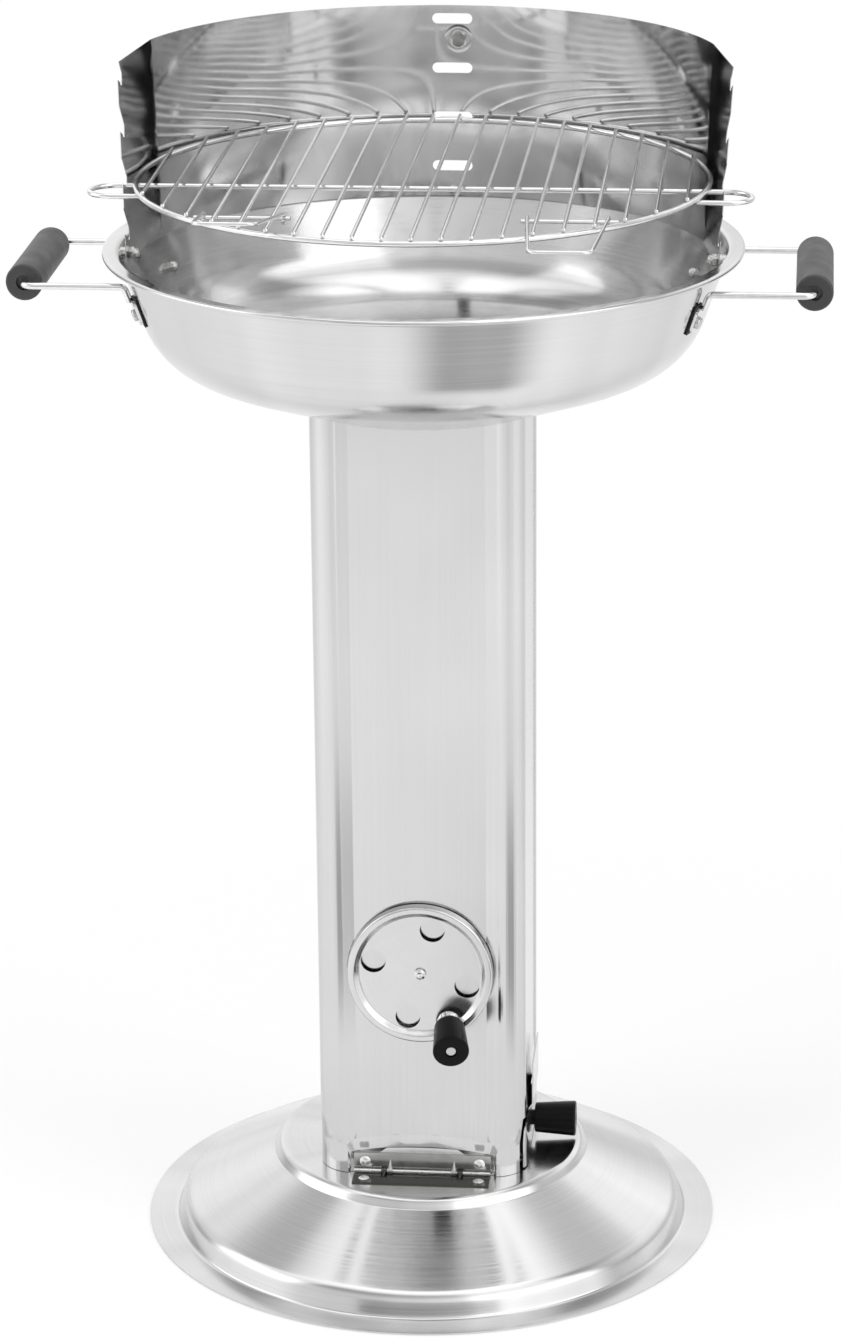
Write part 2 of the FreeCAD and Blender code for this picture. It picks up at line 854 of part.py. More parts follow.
def bowl_corners():
    """Corners along the bowl's underside, from its centre to the rolled lip."""
    low = rim_height - bowl_depth
    lip_under = rim_height - bowl_sheet
    roll_start = bowl_radius - lip_roll_radius - math.sqrt(
        lip_roll_radius ** 2 - (lip_roll_radius - bowl_sheet) ** 2)
    return [
        (0.0, bowl_plateau_under, 0.0),
        (plateau_radius, bowl_plateau_under, plateau_bend),
        (plateau_radius + plateau_step_width, low, plateau_bend),
        (bowl_low_radius, low, bowl_low_bend),
        (bowl_corner_radius, rim_height - bowl_corner_depth, bowl_corner_bend),
        (bowl_wall_radius, lip_under, lip_bend),
        (roll_start, lip_under, 0.0),
    ]


def bowl_region(shift):
    """Everything above the bowl's underside, or above a parallel of it `shift` further in."""
    corners = shifted(bowl_corners(), shift)
    top = rim_height + bowl_depth
    edges = corner_edges(corners, side_view)
    edges.append(line(side_view(*corners[-1][:2]), side_view(corners[-1][0], top)))
    edges.append(line(side_view(corners[-1][0], top), side_view(0, top)))
    edges.append(line(side_view(0, top), side_view(*corners[0][:2])))
    return Part.Face(Part.Wire(edges)).revolve(Vec(0, 0, 0), UP, 360)


def bowl_wall_at(depth):
    """Radius of the bowl's outer wall at a depth below the rim."""
    return bowl_wall_radius - bowl_wall_lean * (depth - bowl_sheet)


def fire_bowl():
    """Spun bowl with a flat lip, a rolled edge and a raised middle with an air hole."""
    under = bowl_corners()
    inner = shifted(under, bowl_sheet)
    roll_x = bowl_radius - lip_roll_radius
    roll_z = rim_height - lip_roll_radius
    low_turn = math.radians(300.0)
    edges = corner_edges(under, side_view)
    edges.append(arc(side_view(*under[-1][:2]),
                     side_view(roll_x + lip_roll_radius * math.cos(low_turn),
                               roll_z + lip_roll_radius * math.sin(low_turn)),
                     side_view(roll_x, rim_height)))
    edges.append(line(side_view(roll_x, rim_height), side_view(*inner[-1][:2])))
    edges += corner_edges(inner[::-1], side_view)
    edges.append(line(side_view(*inner[0][:2]), side_view(*under[0][:2])))
    bowl = Part.Face(Part.Wire(edges)).revolve(Vec(0, 0, 0), UP, 360)
    below = bowl_plateau_under - air_hole_cut_reach
    depth = bowl_sheet + 2 * air_hole_cut_reach
    bowl = bowl.cut(Part.makeCylinder(air_hole_radius, depth, Vec(0, 0, below)))
    for side in (-1, 1):
        bowl = bowl.cut(bowl_bolt_rod(side, bowl_bolt_radius + fit_gap))
    for azimuth in handle_azimuths():
        bowl = bowl.cut(on_bowl_wall(small_bolt_rod(-3 * bowl_sheet, 3 * bowl_sheet), azimuth))
    for site in shield_bolt_sites():
        bowl = bowl.cut(shield_bolt_rod(site, small_bolt_radius + fit_gap))
    return bowl


def bowl_bolt_rod(side, radius):
    top = Vec(side * bowl_bolt_x, 0, bowl_plateau_top + fit_gap)
    length = bowl_sheet + bracket_sheet + bowl_nut_height + bowl_bolt_tail
    return cylinder(top - UP * length, top, radius)


def bowl_bracket(side):
    """Angle welded inside the pillar's side wall, under the bowl's raised middle."""
    wall = panel_half_width - pillar_sheet
    top = bowl_plateau_under - fit_gap
    shelf = block((wall - bracket_length, -bracket_half_width, top - bracket_sheet),
                  (wall, bracket_half_width, top))
    web = block((wall - bracket_sheet, -bracket_half_width, top - bracket_drop),
                (wall, bracket_half_width, top))
    bracket = union([shelf, web]).cut(bowl_bolt_rod(1, bowl_bolt_radius + fit_gap))
    return bracket if side > 0 else mirrored(bracket)


def hexagon(centre, across_corners, height):
    points = [centre + Vec(across_corners * math.cos(math.radians(60 * index)),
                           across_corners * math.sin(math.radians(60 * index)), 0)
              for index in range(7)]
    return Part.Face(Part.makePolygon(points)).extrude(UP * height)


def bowl_bolt(side):
    head = hexagon(Vec(side * bowl_bolt_x, 0, bowl_plateau_top + fit_gap),
                   bowl_bolt_head_radius, bowl_bolt_head)
    return union([head, bowl_bolt_rod(side, bowl_bolt_radius)])


def bowl_nut(side):
    top = bowl_plateau_under - bracket_sheet - 2 * fit_gap
    nut = hexagon(Vec(side * bowl_bolt_x, 0, top - bowl_nut_height), bowl_bolt_head_radius,
                  bowl_nut_height)
    return nut.cut(bowl_bolt_rod(side, bowl_bolt_radius + fit_gap))


# Wind shield


def shield_radius(level, extra):
    return shield_bottom_radius + shield_lean * (level - shield_bottom) + extra


def shield_outline(far_angle, extra, end_out, level):
    """Closed outline of one half at a level: a long arc that ends in a flat panel at the front."""
    outer = shield_radius(level, extra)
    inner = outer - shield_sheet
    bend = math.radians(shield_bend_angle)
    far = math.radians(far_angle)
    height = rim_height + level

    def on_circle(radius, angle):
        return Vec(radius * math.cos(angle), radius * math.sin(angle), height)

    outer_bend = on_circle(outer, bend)
    end = Vec(shield_bottom_radius + end_out, shield_end_y, height)
    inward = UP.cross(end - outer_bend).normalize() * -shield_sheet
    inner_end = end + inward
    return Part.Wire([
        arc(on_circle(outer, far), on_circle(outer, (far + bend) / 2), outer_bend),
        line(outer_bend, end),
        line(end, inner_end),
        line(inner_end, on_circle(inner, bend)),
        arc(on_circle(inner, bend), on_circle(inner, (far + bend) / 2), on_circle(inner, far)),
        line(on_circle(inner, far), on_circle(outer, far)),
    ])


def seam_angle():
    return 90.0 - math.degrees(math.asin(seam_x / shield_bottom_radius))


def shield_half(side):
    """One bent sheet: the right one (1) passes outside the left one (-1) at the seam."""
    half_overlap = math.degrees(seam_overlap / 2 / shield_bottom_radius)
    far_angle = seam_angle() + half_overlap
    extra = shield_sheet + fit_gap
    top_out = shield_right_end_top_out
    if side < 0:
        far_angle = 180.0 - (seam_angle() - half_overlap)
        extra = 0.0
        top_out = shield_left_end_top_out
    sheet = Part.makeLoft([
        shield_outline(far_angle, extra, shield_end_bottom_out, shield_bottom),
        shield_outline(far_angle, extra, top_out, shield_top),
    ], True, True)
    for index in range(grate_levels):
        sheet = sheet.cut(hook_space(first_hook_bottom + index * level_pitch))
    if side < 0:
        sheet = mirrored(sheet)
    for index in range(grate_levels):
        sheet = sheet.cut(seam_slot(first_slot_level + index * level_pitch))
    for site in shield_bolt_sites():
        sheet = sheet.cut(shield_bolt_rod(site, small_bolt_radius + fit_gap))
    return sheet.cut(seam_place(small_bolt_rod(-2 * seam_depth(), 2 * seam_depth())))


def hook_space(bottom):
    """Cutter for one open hook in the front edge of an end panel."""
    radius = cross_wire_radius + hook_round_gap
    wall_back = hook_wire_back + radius

    def at(back, up):
        return Vec(shield_bottom_radius - hook_cut_reach, shield_end_y + back,
                   rim_height + bottom + up)

    slant = (hook_slant_height - hook_wall_height) / wall_back
    out = hook_cut_front
    edges = [
        line(at(-out, hook_tip_height), at(hook_tip_back, hook_tip_height)),
        line(at(hook_tip_back, hook_tip_height), at(hook_wire_back - radius, radius)),
        arc(at(hook_wire_back - radius, radius), at(hook_wire_back, 0), at(wall_back, radius)),
        line(at(wall_back, radius), at(wall_back, hook_wall_height)),
        line(at(wall_back, hook_wall_height), at(-out, hook_slant_height + slant * out)),
        line(at(-out, hook_slant_height + slant * out), at(-out, hook_tip_height)),
    ]
    return Part.Face(Part.Wire(edges)).extrude(RIGHT * (2 * hook_cut_reach))


def seam_slot(level):
    """Cutter for one long slot with round ends through both sheets at the seam."""
    radius = slot_height / 2
    half = slot_length / 2 - radius
    near = shield_bottom_radius - slot_cut_reach
    far = shield_bottom_radius + slot_cut_reach
    height = rim_height + level
    pieces = [block((seam_x - half, near, height - radius), (seam_x + half, far, height + radius))]
    for side in (-1, 1):
        x = seam_x + side * half
        pieces.append(cylinder(Vec(x, near, height), Vec(x, far, height), radius))
    return union(pieces)


def small_bolt_rod(start, end):
    """Clearance rod for a small bolt along +Z."""
    return Part.makeCylinder(small_bolt_radius + fit_gap, end - start, Vec(0, 0, start))


def seam_place(shape):
    """Move a piece drawn along +Z onto the outside of the seam, at its upper screw."""
    radius = shield_radius(seam_screw_level, shield_sheet + fit_gap)
    azimuth = 90.0 - math.degrees(math.asin(seam_screw_x / radius))
    return on_wall(shape, azimuth, radius, rim_height + seam_screw_level, shield_lean)


def seam_depth():
    """Both sheets and the gap between them."""
    return 2 * shield_sheet + fit_gap


def seam_screw():
    inside = -seam_depth() - 3 * fit_gap
    head = Part.makeCylinder(small_bolt_head_radius, small_bolt_head,
                             Vec(0, 0, inside - small_bolt_head))
    shank = Part.makeCylinder(small_bolt_radius, seam_screw_tail - inside, Vec(0, 0, inside))
    return seam_place(union([head, shank]))


def nut_blank(start):
    """Hexagonal nut along +Z with its bore, for a small bolt."""
    nut = hexagon(Vec(0, 0, start), dome_nut_radius, dome_nut_height)
    return nut.cut(small_bolt_rod(start - dome_nut_height, start + 2 * dome_nut_height))


def seam_nut():
    return seam_place(nut_blank(2 * fit_gap))


def shield_bolt_sites():
    """Where the shield is bolted to the bowl: both ends and the seam, as start and direction."""
    level = -shield_bolt_depth
    sites = []
    for side in (-1, 1):
        x = panel_x_at(side, shield_bolt_y, level)
        slope_y = panel_x_at(side, shield_bolt_y + 1, level) - x
        slope_z = panel_x_at(side, shield_bolt_y, level + 1) - x
        out = Vec(side, -slope_y, -slope_z).normalize()
        sites.append((Vec(side * x, shield_bolt_y, rim_height + level), out))
    around = math.radians(seam_angle())
    radius = shield_radius(level, shield_sheet + fit_gap)
    out = Vec(math.cos(around), math.sin(around), -shield_lean).normalize()
    face = Vec(radius * math.cos(around), radius * math.sin(around), rim_height + level)
    sites.append((face, out))
    return sites


def panel_x_at(side, y, level):
    """Outer face of an end panel, as a distance from the middle plane."""
    extra = shield_sheet + fit_gap if side > 0 else 0.0
    top_out = shield_right_end_top_out if side > 0 else shield_left_end_top_out
    share_up = (level - shield_bottom) / (shield_top - shield_bottom)
    end_out = shield_end_bottom_out + share_up * (top_out - shield_end_bottom_out)
    bend = math.radians(shield_bend_angle)
    bend_x = shield_radius(level, extra) * math.cos(bend)
    bend_y = shield_radius(level, extra) * math.sin(bend)
    share = (bend_y - y) / (bend_y - shield_end_y)
    return bend_x + share * (shield_bottom_radius + end_out - bend_x)


def shield_bolt_rod(site, radius):
    """Rod from well inside the shield to well outside the bowl."""
    face, out = site
    return cylinder(face - out * shield_bolt_reach, face + out * shield_bolt_reach, radius)


def shield_depth(site):
    """Sheet under the nut: one at the ends, two at the seam."""
    return seam_depth() if abs(site[1].y) > 0.5 else shield_sheet


def shield_bolt(site):
    """Button head outside the bowl's wall and a shank through to the dome nut."""
    face, out = site
    seat = distance_to_bowl_wall(face, out)
    tail = shield_depth(site) + 3 * fit_gap + dome_bore_depth - move_gap
    shank = cylinder(face - out * tail, face + out * seat, small_bolt_radius)
    head = cylinder(face + out * (seat - shield_bolt_head), face + out * (seat + shield_bolt_head),
                    small_bolt_head_radius)
    head = head.cut(bowl_region(-2 * fit_gap))
    return union([shank, head])


def distance_to_bowl_wall(start, direction):
    """Way from a point inside the bowl to its outer wall, by stepping along what is missing."""
    distance = 0.0
    for _ in range(20):
        point = start + direction * distance
        distance += bowl_wall_at(rim_height - point.z) - math.hypot(point.x, point.y)
    return distance


def shield_spacer(site):
    """Tube between the shield and the sloping wall of the bowl."""
    face, out = site
    blank = tube(face + out * 2 * fit_gap, face + out * shield_bolt_reach, shield_spacer_radius,
                 small_bolt_radius + fit_gap)
    return blank.common(bowl_region(bowl_sheet + fit_gap))


def shield_nut(site):
    """Dome nut inside the shield."""
    face, out = site
    start = face - out * (shield_depth(site) + 3 * fit_gap)
    return pointed(dome_nut(), start, out * -1)


def dome_nut():
    """Low hexagon under a ball end, along +Z, with a blind bore."""
    flat = hexagon(Vec(0, 0, 0), dome_nut_radius, dome_nut_height)
    ball = Part.makeSphere(dome_ball_radius, Vec(0, 0, dome_nut_height))
    ball = ball.common(Part.makeCylinder(2 * dome_nut_radius, 3 * dome_nut_radius,
                                         Vec(0, 0, dome_nut_height - fit_gap)))
    bore = Part.makeCylinder(small_bolt_radius + fit_gap, dome_bore_depth)
    return union([flat, ball]).cut(bore)


# Cooking grate


def ring(radius, wire, height):
    return Part.makeTorus(radius, wire, Vec(0, 0, height), UP)


def grate_ring():
    return ring(ring_radius, ring_wire_radius, ring_z)


def grate_bars():
    """Parallel bars on top of the ring, cut off just inside its outer edge."""
    bars = []
    for index in range(bar_count):
        x = (index - (bar_count - 1) / 2) * bar_pitch
        half = math.sqrt(ring_radius ** 2 - x ** 2) + bar_end_share * ring_wire_radius
        bars.append(cylinder(Vec(x, -half, bar_z), Vec(x, half, bar_z), bar_radius))
    return bars


def grate_cross_wire():
    """Wire under the ring that lies in the hooks and turns back at both ends as a finger loop."""
    back = cross_wire_y - cross_loop_width
    right = [
        Vec(cross_loop_x - cross_loop_length, back, cross_wire_z),
        Vec(cross_loop_x - cross_wire_radius, back, cross_wire_z),
        Vec(cross_loop_x - cross_wire_radius, cross_wire_y, cross_wire_z),
    ]
    left = [Vec(-point.x, point.y, point.z) for point in right[::-1]]
    return rod(right + left, cross_loop_width / 2 - fit_gap, cross_wire_radius)


def grate_rear_tab():
    """Small staple behind the ring that lies in the seam's slot."""
    sheet_inside = shield_radius(first_slot_level + grate_level * level_pitch, 0.0) - shield_sheet
    end_y = sheet_inside + tab_reach - tab_wire_radius
    height = (rim_height + first_slot_level + grate_level * level_pitch - slot_height / 2
              + move_gap + tab_wire_radius)
    start_y = ring_radius - ring_wire_radius
    half = tab_leg_spacing / 2
    points = [
        Vec(seam_x - half, start_y, height),
        Vec(seam_x - half, end_y, height),
        Vec(seam_x + half, end_y, height),
        Vec(seam_x + half, start_y, height),
    ]
    staple = rod(points, tab_wire_bend, tab_wire_radius)
    inside = Part.makeCylinder(ring_radius, 2 * ring_radius, Vec(0, 0, height - ring_radius))
    return staple.cut(inside).cut(ring(ring_radius, ring_wire_radius + fit_gap, ring_z))


def grate_crossbar(side):
    start = Vec(side * crossbar_inner_x, crossbar_y, crossbar_z)
    return cylinder(start, start + RIGHT * side * crossbar_length, crossbar_radius)


def bail(side, lift):
    """Bent wire with an eye at each end that turns on its crossbar."""
    eye_low = math.radians(90.0 - bail_eye_sweep)
    eye_mid = math.radians(90.0 - bail_eye_sweep / 2)

    def eye(x, angle):
        return Vec(x, crossbar_y + bail_eye_radius * math.cos(angle),
                   crossbar_z + bail_eye_radius * math.sin(angle))

    top = math.radians(90.0)
    inner = side * bail_inner_x
    outer = side * bail_outer_x
    front = crossbar_y - bail_length
    height = crossbar_z + bail_eye_radius
    straight = crossbar_y - 2 * bail_eye_radius
    points = [
        eye(inner, top),
        Vec(inner, straight, height),
        Vec(inner + side * bail_taper, front, height),
        Vec(outer - side * bail_taper, front, height),
        Vec(outer, straight, height),
        eye(outer, top),
    ]
    edges = [arc(eye(inner, eye_low), eye(inner, eye_mid), eye(inner, top))]
    edges += bent_path(points, [0.0, bail_leg_bend, bail_bend, bail_bend, bail_leg_bend, 0.0])
    edges.append(arc(eye(outer, top), eye(outer, eye_mid), eye(outer, eye_low)))
    wire = rod_on_path(edges, bail_wire_radius)
    wire.rotate(Vec(0, crossbar_y, crossbar_z), RIGHT, -lift)
    return wire


# Handles


def handle_azimuths():
    """Angles round the bowl of the four places where the handle wires are bolted on."""
    angle = math.degrees(math.asin(handle_half_spacing / bowl_wall_at(handle_bolt_depth)))
    return [angle, -angle, 180.0 - angle, 180.0 + angle]


def on_bowl_wall(shape, azimuth):
    """Move a piece drawn with +Z outwards onto the bowl's wall at a handle's bolt."""
    return on_wall(shape, azimuth, bowl_wall_at(handle_bolt_depth),
                   rim_height - handle_bolt_depth, bowl_wall_lean)


def handle_tab():
    """Flattened end of a handle wire, over its pad."""
    low = handle_pad_sheet + 2 * fit_gap
    half = handle_tab_width / 2
    tab = block((-half, -handle_tab_below, low), (half, handle_tab_above, low + handle_tab_sheet))
    upright = [edge for edge in tab.Edges if abs(edge.tangentAt(0).z) > 0.9]
    return tab.makeFillet(handle_tab_corner, upright)


def handle_wire(side):
    """Wire from tab to tab through the grip, with its flattened ends."""
    def beside_wall(y, depth):
        out = handle_pad_sheet + handle_wire_radius + move_gap
        radius = bowl_wall_at(depth) + out * math.sqrt(1 + bowl_wall_lean ** 2)
        return Vec(math.sqrt(radius ** 2 - y ** 2), y, rim_height - depth)

    height = rim_height - handle_drop
    points = []
    for y in (-handle_half_spacing, handle_half_spacing):
        foot = beside_wall(y, handle_bolt_depth - handle_wire_start)
        bend = beside_wall(y, handle_drop)
        corner = Vec(handle_reach, y, height)
        points += [foot, bend, corner] if y < 0 else [corner, bend, foot]
    bends = [0.0, handle_foot_bend, handle_bend, handle_bend, handle_foot_bend, 0.0]
    wire = rod_on_path(bent_path(points, bends), handle_wire_radius)
    tabs = [on_bowl_wall(handle_tab(), azimuth) for azimuth in handle_azimuths()[:2]]
    wire = union([wire] + tabs)
    for azimuth in handle_azimuths()[:2]:
        wire = wire.cut(on_bowl_wall(small_bolt_rod(0, handle_tab_width), azimuth))
    return wire if side > 0 else mirrored(wire)


def handle_pad():
    half = handle_tab_width / 2 + handle_pad_margin
    pad = block((-half, -handle_tab_below - handle_pad_margin, fit_gap),
                (half, handle_tab_above + handle_pad_margin, fit_gap + handle_pad_sheet))
    return pad.cut(small_bolt_rod(-handle_pad_sheet, 3 * handle_pad_sheet))


def handle_bolt():
    """Round-headed bolt through the tab, the pad and the bowl's wall."""
    seat = handle_pad_sheet + handle_tab_sheet + 3 * fit_gap
    head = Part.makeCylinder(small_bolt_head_radius, small_bolt_head, Vec(0, 0, seat))
    head = head.makeFillet(small_bolt_edge, [edge for edge in head.Edges
                                             if edge.Closed and edge.BoundBox.ZMin > seat])
    tail = bowl_sheet + 3 * fit_gap + dome_bore_depth - move_gap
    shank = Part.makeCylinder(small_bolt_radius, seat + tail, Vec(0, 0, -tail))
    return union([head, shank])


def handle_nut():
    start = Vec(0, 0, -bowl_sheet - 3 * fit_gap)
    return pointed(dome_nut(), start, UP * -1)


def handle_grip(side):
    """Tube that turns on the wire, with rounded ends and shallow recesses."""
    height = rim_height - handle_drop
    half = grip_length / 2
    start = Vec(side * handle_reach, -half, height)
    grip = cylinder(start, start + BACK * grip_length, grip_radius)
    grip = grip.makeFillet(grip_round, [edge for edge in grip.Edges if edge.Closed])
    for end in (-1, 1):
        mouth = Vec(side * handle_reach, end * half, height)
        grip = grip.cut(cylinder(mouth, mouth - BACK * (end * grip_recess_depth),
                                 grip_recess_radius))
    return grip.cut(cylinder(start - BACK, start + BACK * (grip_length + 1),
                             handle_wire_radius + fit_gap))


# Charcoal grate


def coal_ring():
    height = bowl_plateau_top + move_gap + coal_ring_wire
    return ring(coal_ring_radius, coal_ring_wire, height)


def coal_bars():
    height = bowl_plateau_top + move_gap + 2 * coal_ring_wire + coal_bar_radius + fit_gap
    bars = []
    side_bars = int(coal_ring_radius / coal_bar_pitch)
    for index in range(-side_bars, side_bars + 1):
        x = index * coal_bar_pitch
        half = math.sqrt(coal_ring_radius ** 2 - x ** 2) + coal_ring_wire
        bars.append(cylinder(Vec(x, -half, height), Vec(x, half, height), coal_bar_radius))
    return bars


def main():
    os.makedirs("parts", exist_ok=True)
    both = (-1, 1)

    save("foot_plate", foot_plate())
    save("hinge_lower_leaf", hinge_lower_leaf())
    save("hinge_pin", pin_rod(pin_radius))
    save_many("lower_leaf_rivets", [lower_leaf_rivet(side) for side in both])
    save("hinge_upper_leaf", hinge_upper_leaf())
    save_many("upper_leaf_rivets", [upper_leaf_rivet(side) for side in both])

    save("pillar_shell", pillar_shell())
    save("vent_rivet", vent_rivet())
    save("vent_spacer", vent_spacer())
    save("vent_disc", vent_disc())
    save("vent_knob", vent_knob())
    save("vent_knob_screw", vent_knob_screw())

    save("ash_drawer_front", ash_drawer_front())
    save("ash_tray", ash_tray())
    save("ash_knob", ash_knob())
    save("ash_knob_screw", ash_knob_screw())
    save("drawer_rail_front", drawer_rail(-1))
    save("drawer_rail_rear", drawer_rail(1))

    save("fire_bowl", fire_bowl())
    save_many("bowl_brackets", [bowl_bracket(side) for side in both])
    save_many("bowl_bolts", [bowl_bolt(side) for side in both])
    save_many("bowl_nuts", [bowl_nut(side) for side in both])

    save("wind_shield_left", shield_half(-1))
    save("wind_shield_right", shield_half(1))
    save("shield_seam_screw", seam_screw())
    save("shield_seam_nut", seam_nut())
    sites = shield_bolt_sites()
    save_many("shield_bolts", [shield_bolt(site) for site in sites])
    save_many("shield_spacers", [shield_spacer(site) for site in sites])
    save_many("shield_nuts", [shield_nut(site) for site in sites])

    save("handle_wire_left", handle_wire(-1))
    save("handle_wire_right", handle_wire(1))
    azimuths = handle_azimuths()
    save_many("handle_pads", [on_bowl_wall(handle_pad(), azimuth) for azimuth in azimuths])
    save_many("handle_bolts", [on_bowl_wall(handle_bolt(), azimuth) for azimuth in azimuths])
    save_many("handle_nuts", [on_bowl_wall(handle_nut(), azimuth) for azimuth in azimuths])
    save("handle_grip_left", handle_grip(-1))
    save("handle_grip_right", handle_grip(1))

    save("grate_ring", grate_ring())
    save_many("grate_bars", grate_bars())
    save("grate_cross_wire", grate_cross_wire())
    save("grate_rear_tab", grate_rear_tab())
    save_many("grate_crossbars", [grate_crossbar(side) for side in both])
    save("bail_left", bail(-1, left_bail_lift))
    save("bail_right", bail(1, 0.0))
    save("charcoal_grate_ring", coal_ring())
    save_many("charcoal_grate_bars", coal_bars())


main()
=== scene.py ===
# %% [markdown]
# A pillar barbecue grill, dressed for a studio picture. This lesson keeps the pieces whose
# shape is right, works the turned and bent ones out again as smooth surfaces, and gives
# each one the finish of the real metal, wire or plastic.

# %% Load the frame
import math
import bmesh
import bpy
import numpy as np
from mathutils import Matrix


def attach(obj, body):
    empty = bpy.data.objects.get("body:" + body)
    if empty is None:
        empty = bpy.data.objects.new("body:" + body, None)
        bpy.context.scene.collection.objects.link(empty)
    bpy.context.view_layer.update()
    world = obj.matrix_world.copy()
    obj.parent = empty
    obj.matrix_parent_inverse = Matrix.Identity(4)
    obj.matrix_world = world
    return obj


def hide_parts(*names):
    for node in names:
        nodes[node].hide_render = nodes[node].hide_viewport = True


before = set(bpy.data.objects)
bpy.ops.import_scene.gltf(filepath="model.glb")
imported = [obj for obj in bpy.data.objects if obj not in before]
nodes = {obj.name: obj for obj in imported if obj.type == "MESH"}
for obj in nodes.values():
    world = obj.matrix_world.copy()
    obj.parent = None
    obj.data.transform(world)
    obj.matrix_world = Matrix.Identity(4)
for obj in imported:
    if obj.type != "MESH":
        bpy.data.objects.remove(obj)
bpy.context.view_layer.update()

# %% [markdown]
# The drawing of the grill is in millimetres and Blender works in metres, so one factor turns
# one into the other. Sizes that several cells share are named here once.

# %% Shared sizes
MM = 0.001
RIM_HEIGHT = 776.0
GRATE_LEVEL = 38.0
GRATE_RADIUS = 211.0
VENT_HEIGHT = 230.0
print("rim:", RIM_HEIGHT, "mm above the floor")

# %% [markdown]
# Everything in the scene is an object with its data. Most objects stay at the origin; the
# camera and the lamps get a matrix from their right, up and back directions and a place.

# %% Objects in the scene
def linked(name, data):
    """A new object at the origin, in the scene, with its mesh, lens or lamp."""
    made = bpy.data.objects.new(name, data)
    bpy.context.scene.collection.objects.link(made)
    return made


def standing(right, up, back, place):
    """The matrix of an object from its three directions and its place."""
    pose = np.eye(4)
    pose[:3] = np.stack([right, up, back, place], -1)
    return Matrix(pose.tolist())


print("object helpers: 2")

# %% [markdown]
# The picture was taken from the front with a long lens that stood well above the rim and
# looked down by nineteen degrees. The grill stands turned by five degrees in it, so the
# camera is turned round the grill instead. A camera could be aimed with a constraint, but
# its directions worked out as vectors keep the small roll of the picture exactly.

# %% Camera
PICTURE = (841, 1344)
TURN, PITCH, YAW, ROLL = (math.radians(a) for a in (5.2, 18.87, -0.09, -0.51))
DISTANCE, HEIGHT, FOCAL_PIXELS = 3.107, 1.506, 4340.0
SENSOR_MM = 36.0


def round_z(vector):
    """The vector turned about the vertical by the grill's own angle in the picture."""
    x, y, z = vector
    c, s = math.cos(TURN), math.sin(TURN)
    return np.array([c * x - s * y, s * x + c * y, z])


ahead = np.array([math.sin(YAW) * math.cos(PITCH), math.cos(YAW) * math.cos(PITCH),
                  -math.sin(PITCH)])
level_right = np.array([math.cos(YAW), -math.sin(YAW), 0.0])
level_up = np.cross(level_right, ahead)
rolled_right = math.cos(ROLL) * level_right + math.sin(ROLL) * level_up
rolled_up = -math.sin(ROLL) * level_right + math.cos(ROLL) * level_up

lens = bpy.data.cameras.new("camera")
lens.sensor_width = SENSOR_MM
lens.lens = FOCAL_PIXELS / max(PICTURE) * SENSOR_MM
camera = linked("camera", lens)
camera.matrix_world = standing(round_z(rolled_right), round_z(rolled_up), -round_z(ahead),
                               round_z((0.0, -DISTANCE, HEIGHT)))
bpy.context.scene.camera = camera
print("camera: lens", round(lens.lens, 2), "mm")

# %% [markdown]
# A material or a world is a small graph of nodes. One function adds a node, sets its options
# and joins its inputs. The others are short forms of it for the nodes that come up most, so
# that each graph reads like a recipe.

# %% Node helpers
def cleared(owner):
    """The node tree of a material or a world, empty."""
    owner.use_nodes = True
    owner.node_tree.nodes.clear()
    return owner.node_tree


def add(tree, kind, inputs=(), **options):
    """A new node of a kind; inputs gives each socket a value, or another node's output."""
    made = tree.nodes.new(kind)
    for option, value in options.items():
        setattr(made, option, value)
    for socket, value in dict(inputs).items():
        if isinstance(value, bpy.types.NodeSocket):
            tree.links.new(value, made.inputs[socket])
        else:
            made.inputs[socket].default_value = value
    return made


def maths(tree, operation, *values):
    """A calculation on numbers or on other nodes' outputs."""
    return add(tree, "ShaderNodeMath", enumerate(values), operation=operation).outputs[0]


def vectors(tree, operation, *values):
    """The same on vectors; a length, a distance or a dot product comes back as a number."""
    made = add(tree, "ShaderNodeVectorMath", enumerate(values), operation=operation)
    number = operation in ("LENGTH", "DISTANCE", "DOT_PRODUCT")
    return made.outputs["Value" if number else "Vector"]


def between(tree, value, low, high, start=0.0, end=1.0, kind="LINEAR"):
    """A value carried from low..high to start..end, and held at both ends."""
    return add(tree, "ShaderNodeMapRange", enumerate((value, low, high, start, end)),
               interpolation_type=kind).outputs[0]


def mixed(tree, share, first, second, kind="RGBA"):
    """The first value, giving way to the second as the share goes from 0 to 1."""
    socket = {"FLOAT": 2, "VECTOR": 4, "RGBA": 6}[kind]
    made = add(tree, "ShaderNodeMix", {0: share, socket: first, socket + 1: second},
               data_type=kind)
    return made.outputs[socket // 2 - 1]


def blended(tree, share, first, second):
    """The same for two shaders."""
    inputs = {0: share, 1: first.outputs[0], 2: second.outputs[0]}
    return add(tree, "ShaderNodeMixShader", inputs)


def noise(tree, spot, scale, detail):
    """A soft noise from 0 to 1, with so many swellings to the metre."""
    inputs = {"Vector": spot, "Scale": scale, "Detail": detail}
    return add(tree, "ShaderNodeTexNoise", inputs).outputs[0]


def own_place(tree):
    """Where a point lies on its object, in metres."""
    return add(tree, "ShaderNodeTexCoord").outputs["Object"]


def parted(tree, vector):
    """The X, Y and Z of a vector."""
    return add(tree, "ShaderNodeSeparateXYZ", {0: vector}).outputs


def carried(tree, vector, kind, source, target):
    """A VECTOR or a NORMAL in another space."""
    return add(tree, "ShaderNodeVectorTransform", {0: vector}, vector_type=kind,
               convert_from=source, convert_to=target).outputs[0]


print("node helpers: 11")

# %% [markdown]
# Colours are written as the hex codes of a colour chart. A renderer counts light instead, so
# one function applies the curve between the two. Greys in the room are plain amounts.

